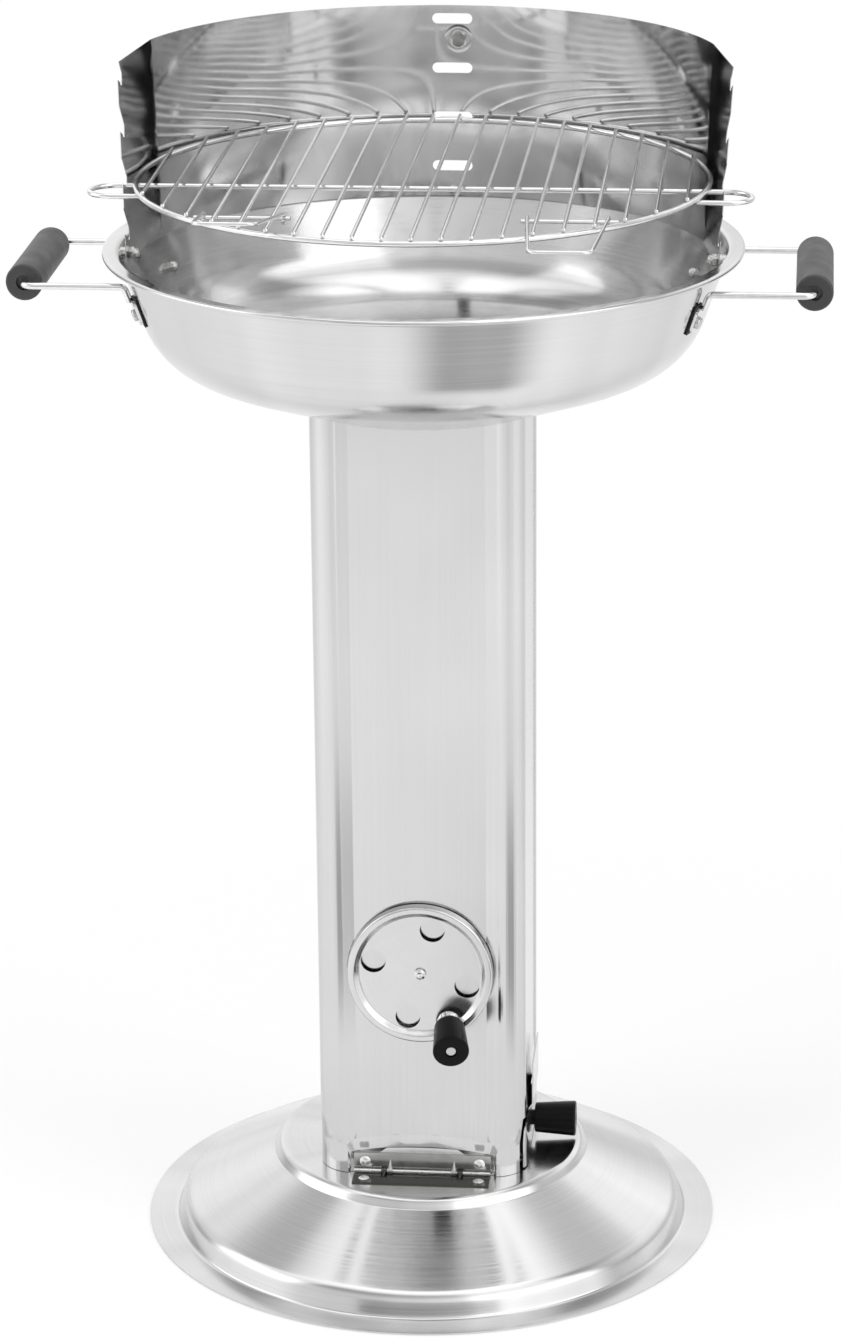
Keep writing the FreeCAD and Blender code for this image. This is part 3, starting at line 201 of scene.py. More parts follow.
# %% Colours
def linear(code):
    """An sRGB hex code as linear red, green, blue and alpha: the curve of the sRGB standard."""
    parts = np.array([int(code[i:i + 2], 16) for i in (0, 2, 4)]) / 255.0
    low, high = parts / 12.92, ((parts + 0.055) / 1.055) ** 2.4
    return (*np.where(parts <= 0.04045, low, high).tolist(), 1.0)


def grey(level):
    """An amount of light as a colour."""
    return (level, level, level, 1.0)


def ramp(tree, value, stops):
    """A grey scale: stops are (place, brightness) pairs."""
    made = add(tree, "ShaderNodeValToRGB", {0: value})
    scale = made.color_ramp
    while len(scale.elements) < len(stops):
        scale.elements.new(0.5)
    for element, (place, level) in zip(scale.elements, stops):
        element.position = place
        element.color = grey(level)
    return made.outputs["Color"]


print("middle grey:", [round(part, 3) for part in linear("808080")])

# %% [markdown]
# The studio. Polished steel shows the room around it, so the room matters more than the
# lamps. Level with the grill the walls are grey, with a paler stretch on the left and on the
# right of the camera; higher up these two are bright soft boxes. A dim cornice follows, then
# a bright panel straight overhead, and all below the horizon is pale floor. Each could be a
# card of its own, but a world whose brightness follows the direction does it with less.

# %% Room round the grill
PANEL_LEVEL, PALE_FLOOR = 1.5, 0.92


def bearing(tree, place):
    """The angle about the vertical, from the camera's side (-Y) round to the right (+X)."""
    return maths(tree, "ARCTAN2", place["X"], maths(tree, "MULTIPLY", place["Y"], -1.0))


def wall_stops(*pairs):
    """Stops of a ramp from (degrees right of the camera, brightness) pairs."""
    return [((degrees + 180.0) / 360.0, level) for degrees, level in pairs]


world = bpy.data.worlds.new("studio")
bpy.context.scene.world = world
room = cleared(world)
way_out = parted(room, add(room, "ShaderNodeTexCoord").outputs["Generated"])
turn_share = between(room, bearing(room, way_out), -math.pi, math.pi)
rise = between(room, way_out["Z"], -1.0, 1.0)
walls = ramp(room, turn_share, wall_stops(
    (-180, 0.72), (-165, 0.95), (-140, 0.85), (-124, 0.55), (-112, 0.55), (-104, 1.10),
    (-66, 1.10), (-56, 0.80), (-27, 0.80), (-20, 0.70), (20, 0.70), (27, 1.05), (80, 1.05),
    (92, 0.50), (122, 0.60), (150, 0.70), (180, 0.72)))
boxes = ramp(room, turn_share, wall_stops(
    (-180, 0.95), (-150, 1.15), (-128, 0.90), (-110, 0.80), (-104, 1.80), (-66, 1.80),
    (-58, 0.75), (-20, 0.75), (20, 1.05), (27, 1.75), (80, 1.75), (90, 0.55), (122, 0.90),
    (150, 1.10), (180, 0.95)))
above = ramp(room, rise, [(0.0, 0.0), (0.57, 0.0), (0.66, 1.0), (1.0, 1.0)])
below = ramp(room, rise, [(0.0, 1.0), (0.34, 1.0), (0.40, 0.0), (1.0, 0.0)])
cornice = ramp(room, rise, [(0.0, 1.0), (0.79, 1.0), (0.86, 0.60), (1.0, 0.60)])
overhead = ramp(room, rise, [(0.0, 0.0), (0.91, 0.0), (0.97, 1.0), (1.0, 1.0)])
sides = mixed(room, above, walls, boxes)
dimmed = vectors(room, "MULTIPLY", sides, cornice)
roofed = mixed(room, overhead, dimmed, grey(PANEL_LEVEL))
floored = mixed(room, below, roofed, grey(PALE_FLOOR))
print("room:", len(room.nodes), "nodes")

# %% [markdown]
# Steel mirrors that room. Matt surfaces gather light from everywhere at once, so an even and
# dimmer white does for them, and the camera itself sees plain white in every direction.

# %% Studio world
MIRRORED_STRENGTH, EVEN_STRENGTH = 1.18, 0.80


def ray_shares(tree):
    """1 where the camera looks, also through something clear; and 1 where steel mirrors."""
    ray = add(tree, "ShaderNodeLightPath")
    seen = maths(tree, "ADD", ray.outputs["Is Camera Ray"], ray.outputs["Is Transmission Ray"])
    return seen, ray.outputs["Is Glossy Ray"]


by_camera, by_steel = ray_shares(room)
shiny = add(room, "ShaderNodeBackground", {"Color": floored, "Strength": MIRRORED_STRENGTH})
even = add(room, "ShaderNodeBackground", {"Color": grey(1.0), "Strength": EVEN_STRENGTH})
white = add(room, "ShaderNodeBackground", {"Color": grey(1.0), "Strength": 1.0})
studio = blended(room, by_camera, blended(room, by_steel, even, shiny), white)
add(room, "ShaderNodeOutputWorld", {"Surface": studio.outputs[0]})
bpy.context.scene.view_settings.view_transform = "Standard"
print("world: studio")

# %% [markdown]
# The floor is a round board, a grid of rings and sectors. The function that joins its points
# to faces serves every turned piece and every wire further on.

# %% Floor board
FLOOR_RADIUS, FLOOR_HEIGHT = 3.2, -0.0004
RINGS, SECTORS = 12, 96


def grid_faces(rows, columns, round_rows=False, round_columns=False):
    """Four-sided faces of a grid of rows x columns points, joined up where it goes round."""
    a = np.arange(rows if round_rows else rows - 1)[:, None]
    b = np.arange(columns if round_columns else columns - 1)[None, :]
    a2, b2 = (a + 1) % rows, (b + 1) % columns
    corners = [a * columns + b, a2 * columns + b, a2 * columns + b2, a * columns + b2]
    return np.stack([c + np.zeros_like(a + b) for c in corners], -1).reshape(-1, 4)


grid_r, grid_t = np.meshgrid(np.linspace(0.0, FLOOR_RADIUS, RINGS),
                             np.linspace(0.0, 2 * np.pi, SECTORS, endpoint=False),
                             indexing="ij")
floor_points = np.stack([grid_r * np.cos(grid_t), grid_r * np.sin(grid_t),
                         np.full_like(grid_r, FLOOR_HEIGHT)], -1).reshape(-1, 3)
floor_mesh = bpy.data.meshes.new("floor")
floor_mesh.from_pydata(floor_points.tolist(), [],
                       grid_faces(RINGS, SECTORS, False, True).tolist())
floor = linked("floor", floor_mesh)
print("floor: radius", FLOOR_RADIUS, "m")

# %% [markdown]
# The board melts into the white around it, because the camera sees more and more plain
# white away from the foot, while the soft shadow under the foot stays. Steel sees one thing
# more: a wedge of shade in front of the foot and to the right, which shows as the darker
# middle of the bowl. A card could throw it, but would shade the rest too. Each row of
# numbers is the low, high, start and end of a change with the distance.

# %% Floor finish
FADE = (0.30, 1.0, 0.60, 1.0)
SHADE_TURN, SHADE_HALF, SHADE_EDGE = (math.radians(a) for a in (27.0, 11.0, 33.0))
SHADE_DEPTH = 0.54
SHADE_BEGINS, SHADE_ENDS = (0.45, 0.62), (0.90, 1.20, 1.0, 0.15)
BOARD_LEVEL, MIRRORED_LEVEL = 0.93, 0.99


def white_board(name):
    """A matt white that fades to plain white for the camera, and has the wedge for steel."""
    made = bpy.data.materials.new(name)
    tree = cleared(made)
    spot = own_place(tree)
    far = vectors(tree, "LENGTH", spot)
    around = bearing(tree, parted(tree, spot))
    aside = maths(tree, "ABSOLUTE", maths(tree, "SUBTRACT", around, SHADE_TURN))
    wedge = between(tree, aside, SHADE_HALF, SHADE_EDGE, SHADE_DEPTH, 0.0, "SMOOTHSTEP")
    within = maths(tree, "MULTIPLY", between(tree, far, *SHADE_BEGINS),
                   between(tree, far, *SHADE_ENDS))
    shaded = maths(tree, "SUBTRACT", MIRRORED_LEVEL, maths(tree, "MULTIPLY", within, wedge))
    seen, mirrored = ray_shares(tree)
    level = mixed(tree, mirrored, BOARD_LEVEL, shaded, "FLOAT")
    matt = add(tree, "ShaderNodeBsdfDiffuse", {"Color": level})
    glow = add(tree, "ShaderNodeEmission", {"Color": grey(1.0), "Strength": 1.0})
    fading = maths(tree, "MULTIPLY", seen, between(tree, far, *FADE))
    both = blended(tree, fading, matt, glow)
    add(tree, "ShaderNodeOutputMaterial", {"Surface": both.outputs[0]})
    return made


floor_mesh.materials.append(white_board("white_board"))
print("floor: shade", SHADE_DEPTH, "deep")

# %% [markdown]
# The dark card stands for the camera, its stand and the dark side of the room behind. It has
# a real distance, so the foot sees it higher up than the bowl does. Only steel sees it.

# %% Dark card
CARD_Y, CARD_LOW, CARD_HIGH = -3.5, 0.12, 0.80
CARD_LEFT, CARD_RIGHT = -1.7, 2.3
CARD_GLOW = 0.12
card_mesh = bpy.data.meshes.new("dark_card")
card_mesh.from_pydata([(CARD_LEFT, CARD_Y, CARD_LOW), (CARD_RIGHT, CARD_Y, CARD_LOW),
                       (CARD_RIGHT, CARD_Y, CARD_HIGH), (CARD_LEFT, CARD_Y, CARD_HIGH)], [],
                      [(3, 2, 1, 0)])
card = linked("dark_card", card_mesh)
card.visible_camera = False
card.visible_diffuse = False
card.visible_shadow = False
cloth = bpy.data.materials.new("dark_cloth")
cloth_tree = cleared(cloth)
dim = add(cloth_tree, "ShaderNodeEmission", {"Color": grey(1.0), "Strength": CARD_GLOW})
add(cloth_tree, "ShaderNodeOutputMaterial", {"Surface": dim.outputs[0]})
card_mesh.materials.append(cloth)
print("card:", CARD_RIGHT - CARD_LEFT, "m wide")

# %% [markdown]
# Two large soft lamps give the light its direction: one high on the left of the camera and a
# weaker one on the right. They are wide, so that every edge of a shadow is soft. Steel would
# show them as two hard squares, so they light the floor and the plastics, and the steel has
# the soft boxes of the room instead.

# %% Soft lamps
LAMP_TARGET = np.array([0.0, 0.0, 0.5])


def soft_lamp(name, place, size, power):
    """A square area lamp that faces the middle of the grill."""
    data = bpy.data.lights.new(name, "AREA")
    data.size, data.energy = size, power
    lamp = linked(name, data)
    back = np.array(place) - LAMP_TARGET
    back = back / np.linalg.norm(back)
    side = np.cross([0.0, 0.0, 1.0], back)
    side = side / np.linalg.norm(side)
    lamp.matrix_world = standing(side, np.cross(back, side), back, place)
    lamp.visible_glossy = False
    return lamp


lamps = [soft_lamp("lamp_left", (-2.2, -1.6, 2.4), size=1.6, power=42.0),
         soft_lamp("lamp_right", (2.4, -1.2, 2.0), size=1.4, power=26.0)]
print("lamps:", len(lamps))

# %% [markdown]
# Metals. Brushed stainless steel was drawn along a belt of grit: it reflects softly, and more
# softly across the grain than along it. The grain could be a picture, but a noise that is
# stretched along one direction never repeats. The helpers build it up: an empty metal, a
# stretch of the noise, a tint, a relief and a grain.

# %% Metal helpers
def empty_metal(name, code):
    """A metal of one colour without a roughness yet; returns material, tree and shader."""
    made = bpy.data.materials.new(name)
    tree = cleared(made)
    shader = add(tree, "ShaderNodeBsdfPrincipled", {"Base Color": linear(code), "Metallic": 1.0})
    add(tree, "ShaderNodeOutputMaterial", {"Surface": shader.outputs[0]})
    return made, tree, shader


def spread(tree, value, low, high):
    """A noise value, which stays mostly between 0.3 and 0.7, carried to a range of its own."""
    return between(tree, value, 0.3, 0.7, low, high)


def tint(tree, shader, code, shade):
    """The metal's colour times a share that differs from place to place."""
    tree.links.new(vectors(tree, "MULTIPLY", linear(code)[:3], shade),
                   shader.inputs["Base Color"])


def bumped(tree, shader, height, normal=None):
    """Light falls as if the surface rose by a height in metres, above a normal if given."""
    inputs = {"Strength": 1.0, "Distance": 1.0, "Height": height}
    if normal is not None:
        inputs["Normal"] = normal
    tree.links.new(add(tree, "ShaderNodeBump", inputs).outputs[0], shader.inputs["Normal"])


def relief(tree, shader, height, depth_mm, normal=None):
    """A fine relief: a value from 0 to 1 times its depth."""
    bumped(tree, shader, maths(tree, "MULTIPLY", height, depth_mm * MM), normal)


def grained(tree, shader, along, stretch):
    """Softer across the grain: the tangent is the grain's direction, turned by a quarter."""
    tree.links.new(carried(tree, along, "VECTOR", "OBJECT", "WORLD"), shader.inputs["Tangent"])
    shader.inputs["Anisotropic"].default_value = stretch
    shader.inputs["Anisotropic Rotation"].default_value = 0.25


print("metal helpers: 6")

# %% [markdown]
# The hinge lies in a pocket that was pressed into the foot of the pillar. In the plain piece
# the upper side of the pocket is one flat slope; the real press left a rolled edge there, in
# a low arch. A slow change of the relief over that slope is enough to turn the light.

# %% Rolled edge of the pocket
POCKET_LOW, POCKET_HIGH, POCKET_ROLL_MM = 84.0, 95.0, 1.5
POCKET_ARCH = 1.8
POCKET_INNER, POCKET_OUTER = 0.050, 0.060
PANEL_FRONT = -0.06


def pocket_roll(tree, spot):
    """Millimetres of rise: z + arch * x^2 carried from the low to the high edge of the roll,
    on the middle of the front panel only."""
    place = parted(tree, spot)
    square = maths(tree, "MULTIPLY", place["X"], place["X"])
    arched = maths(tree, "MULTIPLY_ADD", square, POCKET_ARCH, place["Z"])
    rolled = between(tree, arched, POCKET_LOW * MM, POCKET_HIGH * MM, 0.0, -POCKET_ROLL_MM)
    inner = between(tree, maths(tree, "ABSOLUTE", place["X"]), POCKET_INNER, POCKET_OUTER,
                    1.0, 0.0)
    front = maths(tree, "LESS_THAN", place["Y"], PANEL_FRONT)
    return maths(tree, "MULTIPLY", rolled, maths(tree, "MULTIPLY", inner, front))


print("pocket: rolled by", POCKET_ROLL_MM, "mm")

# %% [markdown]
# The pillar's sheet was brushed lengthwise before it was folded. One noise is squeezed to
# threads 1.6 mm wide and a quarter of a metre long, a second, wider one gives the soft
# clouds of a real sheet.

# %% Upright brushed steel
THREADS_PER_METRE = (620.0, 620.0, 4.0)
THREAD_DEPTH_MM = 0.0015


def upright_steel(name, code):
    """Steel brushed straight up and down, with the pocket's rolled edge in its relief."""
    made, tree, shader = empty_metal(name, code)
    spot = own_place(tree)
    squeezed = vectors(tree, "MULTIPLY", spot, THREADS_PER_METRE)
    threads = add(tree, "ShaderNodeTexNoise", {"Vector": squeezed, "Scale": 1.0, "Detail": 2.0,
                                               "Roughness": 0.6}).outputs[0]
    clouds = noise(tree, spot, scale=11.0, detail=1.0)
    mean = maths(tree, "MULTIPLY", maths(tree, "ADD", threads, clouds), 0.5)
    tint(tree, shader, code, spread(tree, mean, 0.93, 1.03))
    tree.links.new(spread(tree, threads, 0.13, 0.18), shader.inputs["Roughness"])
    height = maths(tree, "MULTIPLY_ADD", threads, THREAD_DEPTH_MM, pocket_roll(tree, spot))
    relief(tree, shader, height, 1.0)
    grained(tree, shader, (0.0, 0.0, 1.0), 0.6)
    return made


pillar_steel = upright_steel("brushed_steel_upright", "CDCDCD")
print("upright grain:", round(1000.0 / THREADS_PER_METRE[0], 1), "mm")

# %% [markdown]
# A spun or pressed round piece is brushed on a turntable, so its threads run round the axis.
# The noise follows the distance from the axis plus a share of the height, because the wall
# of the bowl rises almost straight up. On the vent's flat disc the long thin triangles
# beside a hole would tilt the light, so faces that stand square to a given direction keep
# their true normal there. Soft rays out from the axis darken the colour a little: painted
# reflection bands, which stand in for the bands that the room draws in brushed metal; on the
# disc they are faint.

# %% Round brushed steel
SQUARE_ENOUGH = 0.9998


def flat_where(tree, way):
    """The smooth normal, but the true one on faces square to a direction of the object."""
    face = add(tree, "ShaderNodeNewGeometry").outputs
    own = carried(tree, face["True Normal"], "NORMAL", "WORLD", "OBJECT")
    square = maths(tree, "GREATER_THAN", vectors(tree, "DOT_PRODUCT", own, way), SQUARE_ENOUGH)
    return mixed(tree, square, face["Normal"], face["True Normal"], "VECTOR")


def round_steel(name, code, roughness, depth_mm, stretch, climb=0.0, axis=(0, 0, 1),
                centre_mm=(0, 0, 0), thread_mm=2.2, painted_band_share=0.86, flat_way=None):
    """Steel brushed round an axis: noise of (distance + climb * height) / thread, with painted
    reflection bands: soft rays out from the axis that darken the colour down to a share of it."""
    made, tree, shader = empty_metal(name, code)
    spot = own_place(tree)
    out = vectors(tree, "SUBTRACT", spot, tuple(c * MM for c in centre_mm))
    high = vectors(tree, "DOT_PRODUCT", out, axis)
    flat = vectors(tree, "MULTIPLY", out, tuple(1.0 - abs(a) for a in axis))
    far = vectors(tree, "LENGTH", flat)
    way = vectors(tree, "NORMALIZE", flat)
    row = maths(tree, "MULTIPLY", maths(tree, "MULTIPLY_ADD", high, climb, far),
                1.0 / (thread_mm * MM))
    threads = add(tree, "ShaderNodeTexNoise", {"Vector": way, "W": row, "Scale": 1.3,
                                               "Detail": 2.0}, noise_dimensions="4D").outputs[0]
    clouds = noise(tree, spot, scale=9.0, detail=1.0)
    mean = maths(tree, "MULTIPLY", maths(tree, "ADD", threads, clouds), 0.5)
    # Painted reflection bands: a noise round the axis darkens the colour in soft rays, in place of
    # the bands that reflected light draws in brushed metal.
    tone_and_painted_bands = maths(tree, "MULTIPLY", spread(tree, mean, 0.92, 1.03),
                    spread(tree, noise(tree, way, scale=2.7, detail=2.0), painted_band_share, 1.02))
    tint(tree, shader, code, tone_and_painted_bands)
    tree.links.new(spread(tree, threads, roughness - 0.03, roughness + 0.03),
                   shader.inputs["Roughness"])
    relief(tree, shader, threads, depth_mm, flat_where(tree, flat_way) if flat_way else None)
    grained(tree, shader, vectors(tree, "CROSS_PRODUCT", axis, way), stretch)
    return made


bowl_steel = round_steel("brushed_steel_bowl", "D8D8D8", 0.15, 0.0016, 0.6, climb=1.0)
foot_steel = round_steel("brushed_steel_foot", "D8D8D8", 0.18, 0.0010, 0.5, climb=-1.0)
disc_steel = round_steel("brushed_steel_disc", "D0D0D0", 0.16, 0.0010, 0.3, axis=(0, 1, 0),
                         centre_mm=(0, 0, VENT_HEIGHT), thread_mm=1.6, painted_band_share=0.99,
                         flat_way=(0.0, -1.0, 0.0))
print("round grain: bowl, foot and vent disc")

# %% [markdown]
# The rivet in the middle of the vent was closed with a punch. Its head is rounded and has a
# dimple, and both follow from the distance to the rivet's axis.

# %% Rivet head
DIMPLE = (0.3 * MM, 2.0 * MM, 0.0, 0.9 * MM, "SMOOTHSTEP")
HEAD_EDGE = (2.2 * MM, 4.6 * MM, 0.0, 1.0 * MM, "SMOOTHSTEP")


def punched_head(name, code, roughness):
    """A bare metal whose relief rises out of a dimple and falls again towards the edge."""
    made, tree, shader = empty_metal(name, code)
    shader.inputs["Roughness"].default_value = roughness
    spot = own_place(tree)
    out = vectors(tree, "ADD", spot, (0.0, 0.0, -VENT_HEIGHT * MM))
    far = vectors(tree, "LENGTH", vectors(tree, "MULTIPLY", out, (1.0, 0.0, 1.0)))
    bumped(tree, shader, maths(tree, "SUBTRACT", between(tree, far, *DIMPLE),
                               between(tree, far, *HEAD_EDGE)))
    return made


rivet_head = punched_head("steel_rivet_head", "D8D8D6", 0.20)
print("rivet head: dimple", round(DIMPLE[3] / MM, 1), "mm deep")

# %% [markdown]
# The wind shield is bright rolled sheet, almost a mirror, and a mirror shows every facet.
# On its rolled part the exact direction of the surface is known: straight out from the axis,
# less the lean of the flare. It stands in for the normals of the plain piece's triangles
# there; the flat ends and the cut edges keep their own.

# %% Direction of the rolled sheet
FLARE_MM, SHIELD_HEIGHT_MM = 5.5, 147.5
SHIELD_LEAN = FLARE_MM / SHIELD_HEIGHT_MM
SHIELD_BEND = math.radians(18.3)
BROAD_SIDE = 0.8


def rolled_normal(tree, spot, place):
    """normalise(x, y, 0) - (0, 0, lean), on the side of the sheet that the light meets."""
    out = vectors(tree, "NORMALIZE", vectors(tree, "MULTIPLY", spot, (1.0, 1.0, 0.0)))
    leaning = vectors(tree, "ADD", out, (0.0, 0.0, -SHIELD_LEAN))
    exact = carried(tree, leaning, "NORMAL", "OBJECT", "WORLD")
    own = add(tree, "ShaderNodeNewGeometry").outputs["Normal"]
    facing = vectors(tree, "DOT_PRODUCT", exact, own)
    met = vectors(tree, "MULTIPLY", exact, maths(tree, "SIGN", facing))
    broad = maths(tree, "GREATER_THAN", maths(tree, "ABSOLUTE", facing), BROAD_SIDE)
    bend_y = maths(tree, "MULTIPLY", maths(tree, "ABSOLUTE", place["X"]), math.tan(SHIELD_BEND))
    rolled = maths(tree, "MULTIPLY", broad, maths(tree, "GREATER_THAN", place["Y"], bend_y))
    return mixed(tree, rolled, own, met, "VECTOR")


print("shield: leans by", round(math.degrees(math.atan(SHIELD_LEAN)), 1), "degrees")

# %% [markdown]
# Real sheet is never quite flat, so a slow and a quick noise move the mirror images. Between
# its screws the sheet bellies out, so that it looks further down into the bowl. The press
# left one raised ring round the seam screw.

# %% Bright sheet
BELLY = math.radians(5.5)
SLOW_SCALE, SLOW_MM, QUICK_SCALE, QUICK_MM = 13.0, 0.60, 38.0, 0.06
SEAM_SCREW = (8.9 * MM, 219.0 * MM, 886.0 * MM)
RING_MM, RING_WIDTH_MM, RING_HEIGHT_MM = 8.0, 3.0, 0.22
WORN_ENDS = (0.178, 0.205, 0.0, 0.05)


def sheet_height(tree, spot, place):
    """Metres: two noises, a rise of tan(belly) with z, and a ring of height * (1 - t^2)."""
    slow, quick = noise(tree, spot, SLOW_SCALE, 0.0), noise(tree, spot, QUICK_SCALE, 0.0)
    wave = maths(tree, "MULTIPLY_ADD", quick, QUICK_MM * MM,
                 maths(tree, "MULTIPLY", slow, SLOW_MM * MM))
    lean = maths(tree, "MULTIPLY_ADD", place["Z"], math.tan(BELLY), wave)
    t = between(tree, vectors(tree, "DISTANCE", spot, SEAM_SCREW),
                (RING_MM - RING_WIDTH_MM) * MM, (RING_MM + RING_WIDTH_MM) * MM, -1.0, 1.0)
    return maths(tree, "MULTIPLY_ADD", maths(tree, "MULTIPLY", t, t), -RING_HEIGHT_MM * MM, lean)


def bright_sheet(name, code):
    """Rolled steel with smears, and with a little more wear near its free ends."""
    made, tree, shader = empty_metal(name, code)
    spot = own_place(tree)
    place = parted(tree, spot)
    bumped(tree, shader, sheet_height(tree, spot, place), rolled_normal(tree, spot, place))
    smears = noise(tree, spot, scale=24.0, detail=3.0)
    worn = between(tree, maths(tree, "ABSOLUTE", place["X"]), *WORN_ENDS)
    tree.links.new(maths(tree, "ADD", spread(tree, smears, 0.045, 0.10), worn),
                   shader.inputs["Roughness"])
    tint(tree, shader, code, spread(tree, smears, 0.96, 1.02))
    return made


mirror_steel = bright_sheet("polished_steel_sheet", "D4D4D4")
print("bright sheet: belly", round(math.degrees(BELLY), 1), "degrees")

# %% [markdown]
# Chromed wire, zinc-plated screws and the hinge's leaves are small, so a soft cloud in the
# roughness and in the colour is all that shows of their wear. The lower leaf is the same
# steel in a darker colour: painted shade, for the dark recess that it mirrors.

# %% Wire and fasteners
def clouded_metal(name, code, roughness, size_mm):
    """A metal with soft clouds of a given size in its colour and roughness."""
    made, tree, shader = empty_metal(name, code)
    spot = own_place(tree)
    clouds = noise(tree, spot, 1.0 / (size_mm * MM), 2.0)
    tint(tree, shader, code, spread(tree, clouds, 0.92, 1.02))
    tree.links.new(spread(tree, clouds, roughness - 0.04, roughness + 0.05),
                   shader.inputs["Roughness"])
    relief(tree, shader, clouds, 0.02)
    return made


wire_steel = clouded_metal("chromed_wire", "E2E2E2", 0.12, 6.0)
zinc = clouded_metal("zinc_plated", "C4C4C2", 0.24, 3.0)
nickel = clouded_metal("nickel_plated", "F0F0EE", 0.30, 4.0)
leaf_steel = clouded_metal("hinge_leaf_steel", "B4B4B2", 0.16, 9.0)
# Painted shade: the upper leaf's steel, coloured darker for the dark recess that the lower leaf
# mirrors.
shade_painted_leaf = clouded_metal("hinge_leaf_painted_shade", "565654", 0.16, 9.0)
print("small metals: 5")

# %% [markdown]
# The knobs are moulded from black phenolic plastic with a satin skin, and the grips have a
# duller one: both are nearly black, and light shows only as a soft sheen. The pads are dull
# dark rubber.

# %% Plastic and rubber
PIT_MM, PIT_DEPTH_MM, WEAR_MM = 0.9, 0.012, 18.0


def satin(name, code, roughness, sheen):
    """A dark plastic: fine pits in the skin, soft clouds in its roughness."""
    made, tree, shader = empty_metal(name, code)
    shader.inputs["Metallic"].default_value = 0.0
    shader.inputs["Specular IOR Level"].default_value = sheen
    spot = own_place(tree)
    wear = noise(tree, spot, 1.0 / (WEAR_MM * MM), 2.0)
    tree.links.new(spread(tree, wear, roughness - 0.06, roughness + 0.06),
                   shader.inputs["Roughness"])
    relief(tree, shader, noise(tree, spot, 1.0 / (PIT_MM * MM), 1.0), PIT_DEPTH_MM)
    return made


plastic = satin("black_phenolic", "040404", 0.32, 0.14)
grip_skin = satin("black_grip_skin", "101010", 0.50, 1.0)
pad_rubber = satin("dark_pad", "1C1C1C", 0.60, 0.35)

finish = {"brushed_stainless": bowl_steel, "polished_stainless": mirror_steel,
          "zinc_fasteners": zinc, "chromed_wire": wire_steel, "black_grip": plastic,
          "dark_pad": pad_rubber}
print("finishes:", len(finish))

# %% [markdown]
# Most of the grill is bent or turned steel, so its shapes are lines that were rounded at the
# corners and then carried round an axis or along a wire. The rounded line comes first. A
# curve object with bevels could do it too, but numbers from the drawing give exact arcs.

# %% A line with rounded corners
def bent(corners, radii=None, step=6.0, arc_step=7.5):
    """Points along a line whose corners are arcs: each arc point is the arc's start plus its
    radius times (across * (1 - cos a) + into * sin a), and straight runs get even steps."""
    corners = np.asarray(corners, float)
    radii = np.zeros(len(corners)) if radii is None else np.asarray(radii, float)
    stops = [corners[:1]]
    for before, corner, after, radius in zip(corners, corners[1:], corners[2:], radii[1:]):
        into = (corner - before) / np.linalg.norm(corner - before)
        out = (after - corner) / np.linalg.norm(after - corner)
        turn = math.acos(float(np.clip(into @ out, -1.0, 1.0)))
        if radius <= 0 or turn < 1e-3:
            stops.append(corner[None])
            continue
        across = (out - into * math.cos(turn)) / math.sin(turn)
        a = np.linspace(0.0, turn, int(math.degrees(turn) / arc_step) + 3)[:, None]
        first = corner - into * radius * math.tan(turn / 2)
        stops.append(first + radius * (across * (1 - np.cos(a)) + into * np.sin(a)))
    stops.append(corners[-1:])
    line = np.concatenate(stops)
    lengths = np.linalg.norm(np.diff(line, axis=0), axis=1)
    pieces = np.maximum(1, np.ceil(lengths / step).astype(int))
    owner = np.repeat(np.arange(len(pieces)), pieces)
    nth = np.arange(len(owner)) - np.repeat(np.cumsum(pieces) - pieces, pieces)
    share = (nth / pieces[owner])[:, None]
    return np.concatenate([line[owner] * (1 - share) + line[owner + 1] * share, line[-1:]])


def beside(corners, radii, distance):
    """The parallel of a drawn line, to the left of its way: each corner moves along the
    bisector of its two runs, and its radius grows or shrinks by the distance."""
    corners, radii = np.asarray(corners, float), np.asarray(radii, float)
    run = np.diff(corners, axis=0)
    heading = np.arctan2(run[:, 1], run[:, 0])
    into = np.concatenate([heading[:1], heading])
    out = np.concatenate([heading, heading[-1:]])
    scale = distance / (1 + np.cos(out - into))
    shift = np.stack([-(np.sin(into) + np.sin(out)) * scale,
                      (np.cos(into) + np.cos(out)) * scale], -1)
    grown = radii - distance * np.sign(np.sin(out - into))
    return corners + shift, np.where(radii > 0, np.maximum(grown, 0.0), 0.0)


print("rounded line of", len(bent([(0, 0), (50, 0), (50, 30)], [0, 8, 0])), "points")

# %% [markdown]
# A turned piece is one section carried round an axis, and a wire is a circle carried along a
# path. Both are grids of points: rows go along the section or path, columns go round.

# %% Turned pieces and wires
WIRE_TAPER = 0.6


def turned(section, steps=160, closed=True):
    """Grid of a section (radius, height) turned about Z: x = r cos t, y = r sin t, z = h."""
    section = np.asarray(section, float)
    t = np.linspace(0.0, 2 * np.pi, steps, endpoint=False)
    r, h = section[:, :1], section[:, 1:2]
    points = np.stack([r * np.cos(t), r * np.sin(t), h + 0 * t], -1).reshape(-1, 3)
    return points, grid_faces(len(section), steps, closed, True)


